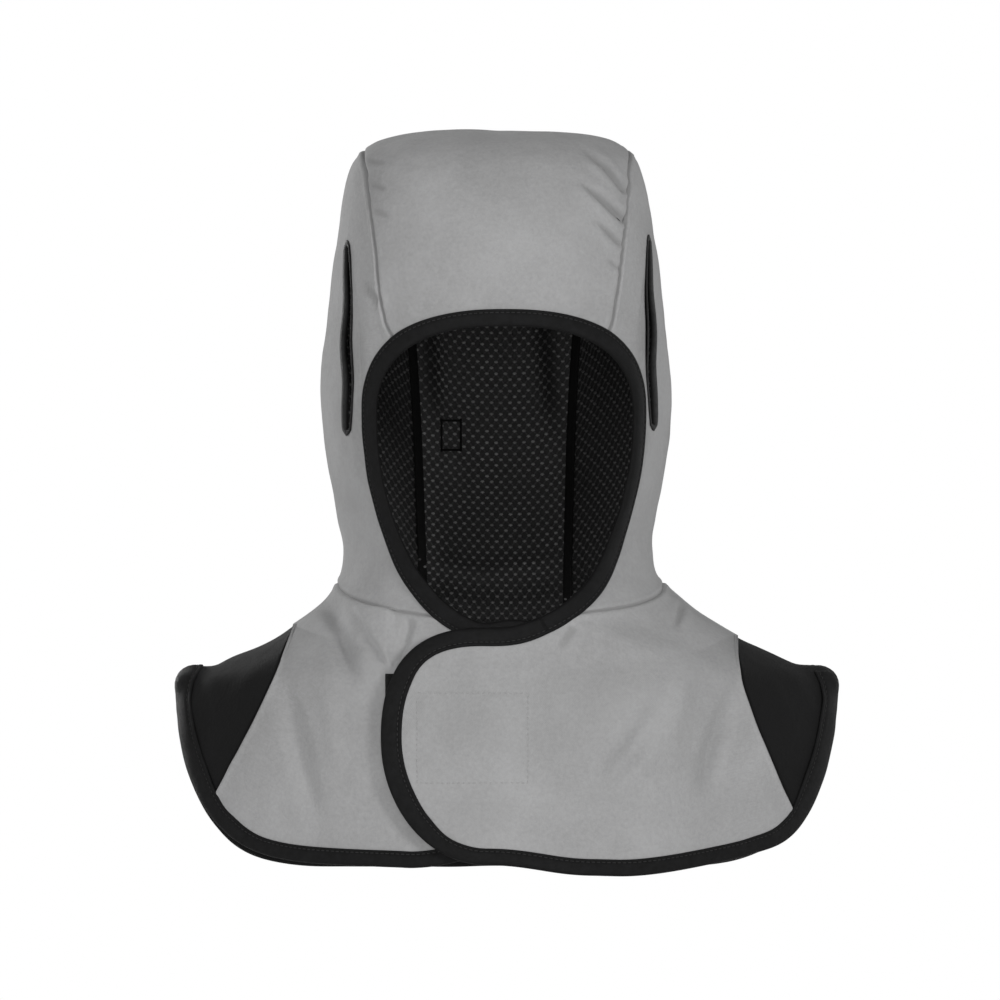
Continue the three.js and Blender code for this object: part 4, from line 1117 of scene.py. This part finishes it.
# Tapes
# Sections of the tapes: distance in from the edge, height over the cloth and painted shade, dark at the
# rims, in the stitch groove, underneath and on the walls inside a slit
EDGE_SECTION = np.array([
    (11.7, 0.06, 0.9), (11.8, 0.35, 0.6), (11.6, 0.75, 0.3), (11.0, 0.95, 0.1), (10.2, 0.9, 0.1),
    (9.7, 0.66, 0.6), (9.2, 0.66, 0.6), (8.7, 0.95, 0.1), (7.4, 1.12, 0), (5.4, 1.2, 0), (3.4, 1.18, 0),
    (1.9, 1.02, 0.1), (0.8, 0.6, 0.4), (0.2, 0.0, 0.7), (0.0, -0.65, 0.8), (0.2, -1.3, 0.9),
    (0.8, -1.9, 0.9), (1.9, -2.3, 0.9), (4.5, -2.45, 0.8), (9.0, -2.4, 0.6), (11.2, -2.3, 0.6),
    (11.8, -1.9, 0.6), (11.7, -1.42, 0.8), (1.5, -1.42, 0.9), (1.5, 0.06, 0.9),
])
SLOT_SECTION = np.array([
    (3.7, 0.06, 0.8), (3.8, 0.45, 0.5), (3.4, 0.85, 0.2), (2.6, 1.05, 0), (1.6, 1.1, 0), (0.7, 0.8, 0.2),
    (0.15, 0.2, 0.8), (0.0, -0.6, 1), (0.2, -1.4, 1), (0.9, -2.0, 1), (2.2, -2.2, 1), (3.6, -2.0, 1),
    (3.7, -1.42, 1), (1.0, -1.42, 1), (1.0, 0.06, 1),
])
STITCH_INTO, STITCH_HEIGHT = 9.45, 0.72
EDGE_PITCH = 2.2
# Changes of the edge tape's width, as shares of it, and the drops over which they come and go
TAPE_CHANGES = dict(tips=0.4, upright=0.1, brow=-0.12, hem=-0.16)
BROW_DROPS, FRONT_HEM_DROPS = (118, 135), (420, 434)
UPRIGHT = dict(half=80, start=(305, 335), end=(400, 425))


def edge_loop():
    """The edge's points, the way into the cloth, and whether each one is on the right flap's layer."""
    face = face_point(np.linspace(FACE_START["right"], FACE_START["left"] + 360, 500))
    under = flap_edge("left")[0][1:]
    hem_from, hem_to = hem_turn(FLAP_ENDS["left"]["hem_x"]), hem_turn(FLAP_ENDS["right"]["hem_x"])
    hem = hem_point(np.linspace(hem_from, hem_to - 360, 1400))[1:]
    over = flap_edge("right")[0][::-1][1:-1]
    line = np.concatenate([face, under, hem, over])
    over_layer = np.concatenate([
        np.arange(len(face)) <= len(face) / 2,
        np.zeros(len(under), bool),
        np.arange(len(hem)) > len(hem) / 2,
        np.ones(len(over), bool),
    ])
    closed = np.concatenate([line, line[:1]])
    at = lengths(closed)
    count = int(at[-1] / EDGE_PITCH)
    target = np.linspace(0, at[-1], count, endpoint=False)
    spots = settle(read_at(closed, at, target))
    layer = over_layer[np.clip(np.searchsorted(at, target, "right") - 1, 0, len(line) - 1)]
    return spots, inward_of(spots, closed=True), layer


def edge_widths(spots):
    """Broad at the shoulders' tips and the flaps' upright edges, narrow at the brow and the front hem."""
    x, drop = spots[:, 0], drop_of(spots)
    ahead = spots[:, 1] < 0
    tips = smooth(TIP["start"], TIP["end"], np.abs(x - CAPE_MIDDLE))
    brow = 1 - smooth(*BROW_DROPS, drop)
    hem = ahead * smooth(*FRONT_HEM_DROPS, drop)
    upright = smooth(*UPRIGHT["start"], drop) * (1 - smooth(*UPRIGHT["end"], drop))
    upright = upright * ahead * (np.abs(x) < UPRIGHT["half"])
    places = dict(tips=tips, upright=upright, brow=brow, hem=hem)
    return 1 + sum(TAPE_CHANGES[name] * place for name, place in places.items())


def flat_rise(place):
    return np.zeros(place.shape[:-1])


def make_tape(name, spots, inward, shape, rise_of, widths, material):
    """A folded tape: its section taken along an edge, at a share of its width."""
    place = settle(spots[:, None] + inward[:, None] * shape[None, :, :1] * widths[:, None, None])
    rings = place + normal(place) * (rise_of(place) + shape[None, :, 1])[..., None]
    return tube_loop(name, rings, material, shape[:, 2])


def edge_rise(layer):
    def rise_of(place):
        mask = layer.reshape(-1, *[1] * (place.ndim - 2))
        lift = np.where(mask, overlap_lift(place), 0)
        return lift + ripple(place, *TAPE_RIPPLE) + tip_rise(place) + drape(place)

    return rise_of


def slot_loop(side):
    """Points round a slit, and how wide its tape is at each."""
    slot, sign = SLOTS[side], SIGN[side]
    drops = np.linspace(slot["top"], slot["bottom"], 60)
    half = slot_half(slot, drops)
    turn = np.linspace(0, math.pi, 9)[1:-1]
    cap = SLOT_END * np.sin(turn) ** SLOT_CAP_SQUARE
    low = slot["bottom"] + cap, -np.cos(turn)
    high = slot["top"] - cap, np.cos(turn)
    parts = [(drops, -np.ones_like(half)), low, (drops[::-1], np.ones_like(half)), high]
    loop, widths = [], []
    for at, hand in parts:
        behind = (1 + sign * hand) / 2
        along = slot_share(slot, at)
        wave = LIP_WAVE["reach"] * waving(along, LIP_WAVE["turns"], LIP_WAVE["start"][side])
        share = mix(SLOT_LIPS["fore"], SLOT_LIPS["aft"] + wave, behind)
        loop.append(slot_spot(slot, at, hand * share * slot_half(slot, at)))
        widths.append(mix(SLOT_LIPS["fore_width"], SLOT_LIPS["aft_width"], behind))
    return np.concatenate(loop), np.concatenate(widths)


# Stitches
# Rings along a stitch: place in lengths, size in radii, and height
STITCH_SHAPE = [
    (-0.5, 0.35, -0.25),
    (-0.32, 0.9, 0.0),
    (0.0, 1.0, 0.12),
    (0.32, 0.9, 0.0),
    (0.5, 0.35, -0.25),
]
STITCH_SIDES = 6
# How far rows of stitches lie from a seam, and how far they stop before a taped edge and before another seam
SEAM_ROW, GUSSET_ROW = 2.4, 2.2
TAPED, SEAMED = 15, 4


def stitch_parts(line, up, length=2.5, gap=0.7, radius=0.3):
    """Rings of every stitch along a line of points with the way up at each."""
    at = lengths(line)
    count = int(at[-1] / (length + gap))
    middles = (np.arange(count) + 0.5) * (length + gap)
    raised = unit(read_at(up, at, middles))
    ahead = unit(read_at(line, at, middles + length / 2) - read_at(line, at, middles - length / 2))
    aside = unit(np.cross(raised, ahead))
    rings = []
    for share, size, lift in STITCH_SHAPE:
        centre = read_at(line, at, middles + share * length) + raised * lift
        for turn in np.arange(STITCH_SIDES) * 2 * math.pi / STITCH_SIDES:
            across = aside * math.cos(turn) + raised * math.sin(turn)
            rings.append(centre + across * radius * size)
    return np.stack(rings, 1).reshape(count, len(STITCH_SHAPE), STITCH_SIDES, 3)


def make_stitches(name, sets, material):
    blocks = np.concatenate(sets)
    count, rings, corners = blocks.shape[:3]
    vertices = blocks.reshape(-1, 3)
    index = np.arange(rings * corners).reshape(rings, corners)
    now, following = index[:-1], index[1:]
    sides = np.stack([now, np.roll(now, -1, 1), np.roll(following, -1, 1), following], -1).reshape(-1, 4)
    faces = []
    for i in range(count):
        start = i * rings * corners
        faces.extend((sides + start).tolist())
        faces.append((index[0][::-1] + start).tolist())
        faces.append((index[-1] + start).tolist())
    return mesh_object(name, vertices, faces, material)


def beside_seam(line, distance, hand, side, welt=0.35, start=0, end=0):
    """A row of stitches beside a seam, on the cloth as it lies, clear of tapes at its start and end."""
    at = lengths(line)
    line = line[(at >= start) & (at <= at[-1] - end)]
    row = settle(line + inward_of(line) * hand * distance)
    up = normal(row)
    return stitch_parts(row + up * (cloth_top(row, side) + welt)[:, None], up)


# Lining
NET_WIDTH, NET_HEIGHT = 5.6, 7.1
NET_DEPTH = LINING_DEPTH + LINING + 0.35
STRAND = 0.4
# Each knot is a low oval dome
KNOT_WIDTH, KNOT_HEIGHT, KNOT_TOP = 1.3, 0.95, 0.75
KNOT_SIDES = 8
KNOT_RINGS = [(1.0, -0.2), (0.72, 0.5)]
LINING_MARK = dict(
    top=((-35, 175), (-21.6, 175)),
    left=((-34.4, 174), (-34.4, 194)),
    right=((-22.2, 174), (-22.2, 194)),
    bottom=((-35, 193), (-21.6, 193)),
)
LINING_ENDS = dict(face=0.03, nape=0.002)
LINING_LENGTH, LINING_PITCH = CROWN_LENGTH * 0.96, 4
# Bands on the lining: width, how far over the net, and thickness
SEAM_BAND = dict(width=6, over=0.9, thickness=0.5)
MARK_BAND = dict(width=1.2, over=1.0, thickness=0.6)
BAND_START, BAND_SHORT = 30, 1.5
# Columns behind a slit at which the side's lining and net start, and rows left out at the neck
LINING_FROM, NET_FROM, NECK_ROWS = 4, 24, 4
# Soft pleats of the lining at the back of the head: x, drop, x, drop, width
PLEATS = [
    (-42, 110, -37, 176, 5.5),
    (29, 112, 36, 182, 6),
]
PLEAT_HEIGHT = 3.2


def pleat_of(p):
    """How far a point is into a pleat, from 0 to 1."""
    deep = np.zeros(p.shape[:-1])
    drop = drop_of(p)
    for x0, drop0, x1, drop1, width in PLEATS:
        along = (drop - drop0) / (drop1 - drop0)
        fade = smooth(-0.3, 0.1, along) * (1 - smooth(0.6, 1.25, along))
        deep = np.maximum(deep, fade * np.exp(-(((p[..., 0] - mix(x0, x1, along)) / width) ** 2)))
    return np.where(p[..., 1] > 0, deep, 0)


# Painted shade on the lining: where the nape's lining darkens, by drop, and how far behind a slit the lining
# stays dark
LOW_SHADE = dict(start=200, end=290, most=0.55)
SLIT_SHADE = (18, 34)


def lining_top(p, side):
    return fold_height(p, side) - PLEAT_HEIGHT * pleat_of(p)


def lining_shade(p):
    """Painted shade: dark in the pleats and low down in the nape."""
    low = smooth(LOW_SHADE["start"], LOW_SHADE["end"], drop_of(p)) * LOW_SHADE["most"]
    return np.maximum(pleat_of(p), low)


def make_lining(name, grid, side):
    top = lining_top(grid, side) - LINING_DEPTH
    if side == "both":
        return wall(name, grid, top, LINING, LINING_CROWN, shade=lining_shade(grid))
    # The side lining is painted dark just behind its slit: painted shadow
    from_slit = lengths(grid[len(grid) // 2])
    slit_painted_shade = np.broadcast_to(1 - smooth(*SLIT_SHADE, from_slit), grid.shape[:2])
    return wall(name, grid, top, LINING, LINING_SIDE_SHADED, shade=slit_painted_shade)


def make_net(name, grid, side):
    """Knotted diamonds on the inner face of a lining."""
    n = normal(grid)
    skin = grid + n * (lining_top(grid, side) - NET_DEPTH)[..., None]
    rows, columns = grid.shape[:2]
    middle = columns // 2
    down = lengths(skin[:, middle])
    knots, ups, index_of = [], [], {}
    for k in range(int(down[-1] / (NET_HEIGHT / 2)) + 1):
        row = np.interp(k * NET_HEIGHT / 2, down, np.arange(rows))
        r = min(int(row), rows - 2)
        line = mix(skin[r], skin[r + 1], row - r)
        lift = mix(n[r], n[r + 1], row - r)
        at = lengths(line)
        at = at - at[middle]
        low = math.ceil(at[0] / NET_WIDTH - (k % 2) / 2)
        high = math.floor(at[-1] / NET_WIDTH - (k % 2) / 2)
        for j in range(low, high + 1):
            where = (j + (k % 2) / 2) * NET_WIDTH
            index_of[k, j] = len(knots)
            knots.append(read_at(line, at, where))
            ups.append(read_at(lift, at, where))
    knots = np.array(knots)
    ups = unit(np.array(ups))
    pairs = []
    for (k, j), i in index_of.items():
        for other in ((k + 1, j), (k + 1, j + 1 if k % 2 else j - 1)):
            if other in index_of:
                pairs.append((i, index_of[other]))
    pairs = np.array(pairs)
    a, b = knots[pairs[:, 0]], knots[pairs[:, 1]]
    up = unit(ups[pairs[:, 0]] + ups[pairs[:, 1]])
    aside = unit(np.cross(b - a, up)) * STRAND
    ridge = lambda p: np.stack([p + aside, p - up * STRAND, p - aside], 1)
    strands = np.concatenate([ridge(a), ridge(b)], 1).reshape(-1, 3)
    side_quads = np.array([(0, 1, 4, 3), (1, 2, 5, 4)])
    faces = (np.arange(len(pairs))[:, None, None] * 6 + side_quads).reshape(-1, 4).tolist()
    east = unit(np.cross(ups, [0, 0, 1.0]))
    south = np.cross(ups, east)
    rings = []
    for size, height in KNOT_RINGS:
        for turn in np.arange(KNOT_SIDES) * 2 * math.pi / KNOT_SIDES:
            rim = east * math.cos(turn) * KNOT_WIDTH + south * math.sin(turn) * KNOT_HEIGHT
            rings.append(knots + rim * size - ups * height)
    rings.append(knots - ups * KNOT_TOP)
    knobs = np.stack(rings, 1).reshape(-1, 3)
    rim = np.arange(KNOT_SIDES)
    after = np.roll(rim, -1)
    base = np.stack([rim, after, after + KNOT_SIDES, rim + KNOT_SIDES], 1)
    tip = np.stack([rim + KNOT_SIDES, after + KNOT_SIDES, np.full(KNOT_SIDES, 2 * KNOT_SIDES)], 1)
    starts = np.arange(len(knots))[:, None, None] * (2 * KNOT_SIDES + 1) + len(strands)
    faces += (starts + base).reshape(-1, 4).tolist() + (starts + tip).reshape(-1, 3).tolist()
    piece = mesh_object(name, np.concatenate([strands, knobs]), faces, NET if side == "both" else NET_SIDE_SHADED)
    piece.data.materials.append(KNOT_HIGHLIGHT if side == "both" else KNOT_SIDE_SHADED)
    on_knot = np.arange(len(faces)) >= len(pairs) * len(side_quads)
    piece.data.polygons.foreach_set("material_index", on_knot.astype(np.int32))
    set_shade(piece, lining_shade(np.concatenate([strands, knobs])))
    return piece


def make_band(name, line, band, count):
    """A flat strip inside the hood along a line of the form."""
    across = np.linspace(-0.5, 0.5, count) * band["width"]
    grid = settle(line[:, None] + inward_of(line)[:, None] * across[None, :, None])
    top = np.full(grid.shape[:2], -(NET_DEPTH + band["over"]))
    return wall(name, grid, top, band["thickness"], SEAM_TAPE)


# Build
def declare(piece, nodes=()):
    if nodes:
        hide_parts(*nodes)
    return piece


crown = make_crown()
side_left, aft_left = make_side("left")
side_right, aft_right = make_side("right")
flap_under = make_flap("left", "flap_under")
flap_over = make_flap("right", "flap_over")
gusset_left = make_gusset("left")
gusset_right = make_gusset("right")
back = make_back()

spots, inward, layer = edge_loop()
tape_widths = edge_widths(spots)
binding = make_tape("binding_edge", spots, inward, EDGE_SECTION, edge_rise(layer), tape_widths, TAPE)
slot_pieces = {}
for side in ("left", "right"):
    loop, widths = slot_loop(side)
    into = inward_of(loop, closed=True)
    slot_pieces[side] = make_tape(
        f"binding_slit_{side}", loop, into, SLOT_SECTION, flat_rise, widths, SLIT_TAPE)

patch_grid = on_front(
    np.linspace(PATCH["left"], PATCH["right"], 42)[None],
    np.linspace(PATCH["top"], PATCH["bottom"], 34)[:, None],
)
pile = wall("closure_pile", patch_grid, PATCH_TOP + ripple(patch_grid, *PILE_RIPPLE), PATCH_THICKNESS, PILE)

lining_rows = mix(LINING_ENDS["face"], 1 - LINING_ENDS["nape"], shares(LINING_LENGTH, LINING_PITCH))
lining_grid = crown_grid(shares(CROWN_WIDTH, LINING_PITCH), lining_rows, 0)
lining_crown = make_lining("lining_ground_crown", lining_grid, "both")
net_crown = make_net("lining_net_crown", lining_grid, "both")
linings = {}
for side, aft in (("left", aft_left), ("right", aft_right)):
    ground = make_lining(f"lining_ground_{side}", aft[:-NECK_ROWS:2, LINING_FROM::2], side)
    linings[side] = (ground, make_net(f"lining_net_{side}", aft[:-NECK_ROWS:2, NET_FROM::2], side))

bands = []
for side, across in (("left", 0.0), ("right", 1.0)):
    nape = float(crown_ends(across)[1])
    line = crown_point(across, np.linspace(BAND_START, nape - BAND_SHORT, 220))
    bands.append(make_band(f"lining_tape_{side}", line, SEAM_BAND, 5))

for name, corners in LINING_MARK.items():
    (x0, drop0), (x1, drop1) = corners
    run = np.linspace(0, 1, 14)
    line = on_front(mix(x0, x1, run), mix(drop0, drop1, run), 1)
    bands.append(make_band(f"lining_mark_{name}", line, MARK_BAND, 3))

grey_rows = []
for side, across, hand in (("left", 0.0, -1), ("right", 1.0, 1)):
    at_face, at_nape = (float(v) for v in crown_ends(across))
    seam_line = crown_point(across, np.linspace(at_face, at_nape, 500))
    grey_rows.append(beside_seam(seam_line, SEAM_ROW, hand, side, start=TAPED, end=SEAMED))
    front_end = float(turn_of(flap_edge(side)[0][0]))
    neck_row = neck_line(front_end, SIGN[side] * 165)
    grey_rows.append(beside_seam(neck_row, SEAM_ROW, hand, side, start=TAPED * 2))
    grey_rows.append(beside_seam(gusset_line(side, -1), GUSSET_ROW, hand, side, start=SEAMED, end=TAPED))
    grey_rows.append(beside_seam(gusset_line(side, 1), GUSSET_ROW, -hand, "none", start=SEAMED, end=TAPED))
spots_box = box_line()
box_points = on_front(spots_box[:, 0], spots_box[:, 1])
box_up = normal(box_points)
box_top = cloth_top(box_points, "right") - BOX_GROOVE
grey_rows.append(stitch_parts(box_points + box_up * box_top[:, None], box_up))
stitches_grey = make_stitches("stitches_grey", grey_rows, GREY_THREAD)

stitch_line = settle(spots + inward * STITCH_INTO * tape_widths[:, None])
stitch_up = normal(stitch_line)
stitch_line = stitch_line + stitch_up * (edge_rise(layer)(stitch_line) + STITCH_HEIGHT)[:, None]
closed_line = np.concatenate([stitch_line, stitch_line[:1]])
stitches_black = make_stitches(
    "stitches_black", [stitch_parts(closed_line, np.concatenate([stitch_up, stitch_up[:1]]))], BLACK_THREAD)

# Hide the parts of model.glb that the pieces take the place of
declare(crown, ["crown_panel"])
declare(side_left, ["side_panel_left"])
declare(side_right, ["side_panel_right"])
declare(flap_under, ["front_flap_under"])
declare(flap_over, ["front_flap_over"])
declare(back, ["back_cape"])
for side, gusset in (("left", gusset_left), ("right", gusset_right)):
    declare(gusset, [f"shoulder_gusset_{side}"])
declare(
    binding, ["edge_binding"])
for side in ("left", "right"):
    declare(slot_pieces[side], [f"slot_binding_{side}"])
declare(pile, ["closure_patch"])
declare(lining_crown, ["lining_crown"])
declare(net_crown)
for side, area in (("left", 0.039), ("right", 0.0384)):
    ground, net = linings[side]
    declare(ground, [f"lining_side_{side}"])
    declare(net)
for band in bands:
    declare(band)
declare(stitches_grey)
declare(stitches_black)


# Stage, light and camera
FLOOR_Z, FLOOR_RADIUS, FLOOR_SIDES = -0.75, 1.2, 96
PALE_FLOOR = plain_material("pale_floor", grey(0.784), grey(0.8), 0.9, 0.2, 4, 0.0002)
floor_mesh = bpy.data.meshes.new("floor")
floor_turns = np.arange(FLOOR_SIDES) * 2 * math.pi / FLOOR_SIDES
floor_rim = points(FLOOR_RADIUS * np.cos(floor_turns), FLOOR_RADIUS * np.sin(floor_turns), FLOOR_Z)
floor_mesh.from_pydata(floor_rim.tolist(), [], [list(range(FLOOR_SIDES))])
floor_mesh.materials.append(PALE_FLOOR)
floor = bpy.data.objects.new("floor", floor_mesh)
bpy.context.scene.collection.objects.link(floor)


def area_light(name, place, target, size, power):
    data = bpy.data.lights.new(name, "AREA")
    data.shape = "DISK"
    data.size = size
    data.energy = power
    lamp = bpy.data.objects.new(name, data)
    lamp.location = place
    lamp.rotation_euler = (Vector(target) - Vector(place)).to_track_quat("-Z", "Y").to_euler()
    bpy.context.scene.collection.objects.link(lamp)


CENTRE = (0.003, 0, -0.22)
area_light("key", (2.0, -2.2, 0.42), CENTRE, 0.7, 41)
area_light("fill", (-2.0, -2.1, 0.2), CENTRE, 1.2, 31)
area_light("front", (0.0, -3.2, -0.25), CENTRE, 1.2, 15)
area_light("back", (-1.7, 2.5, 0.6), CENTRE, 0.9, 42)
area_light("back_fill", (2.2, 2.2, 0.3), CENTRE, 1.4, 8)

SKY_LIGHT = 0.34
world = bpy.data.worlds.new("studio")
bpy.context.scene.world = world
world.use_nodes = True
sky = world.node_tree.nodes["Background"]
sky.inputs["Color"].default_value = (1, 1, 1, 1)
seen = world.node_tree.nodes.new("ShaderNodeLightPath")
strength = world.node_tree.nodes.new("ShaderNodeMapRange")
strength.inputs["To Min"].default_value = SKY_LIGHT
strength.inputs["To Max"].default_value = 1.0
world.node_tree.links.new(seen.outputs["Is Camera Ray"], strength.inputs["Value"])
world.node_tree.links.new(strength.outputs["Result"], sky.inputs["Strength"])
bpy.context.scene.view_settings.view_transform = "Standard"

CAMERA_AWAY = 12.0
FRAME_M = 0.6
CAMERA_X, CAMERA_DROP = 0.0024, 222
camera_data = bpy.data.cameras.new("camera")
camera_data.lens = camera_data.sensor_width * CAMERA_AWAY / FRAME_M
camera_data.clip_end = 100
camera = bpy.data.objects.new("camera", camera_data)
camera.location = (CAMERA_X, -CAMERA_AWAY, (CROWN_TOP - CAMERA_DROP) * MM)
camera.rotation_euler = (math.pi / 2, 0, 0)
bpy.context.scene.collection.objects.link(camera)
bpy.context.scene.camera = camera

bpy.context.view_layer.update()
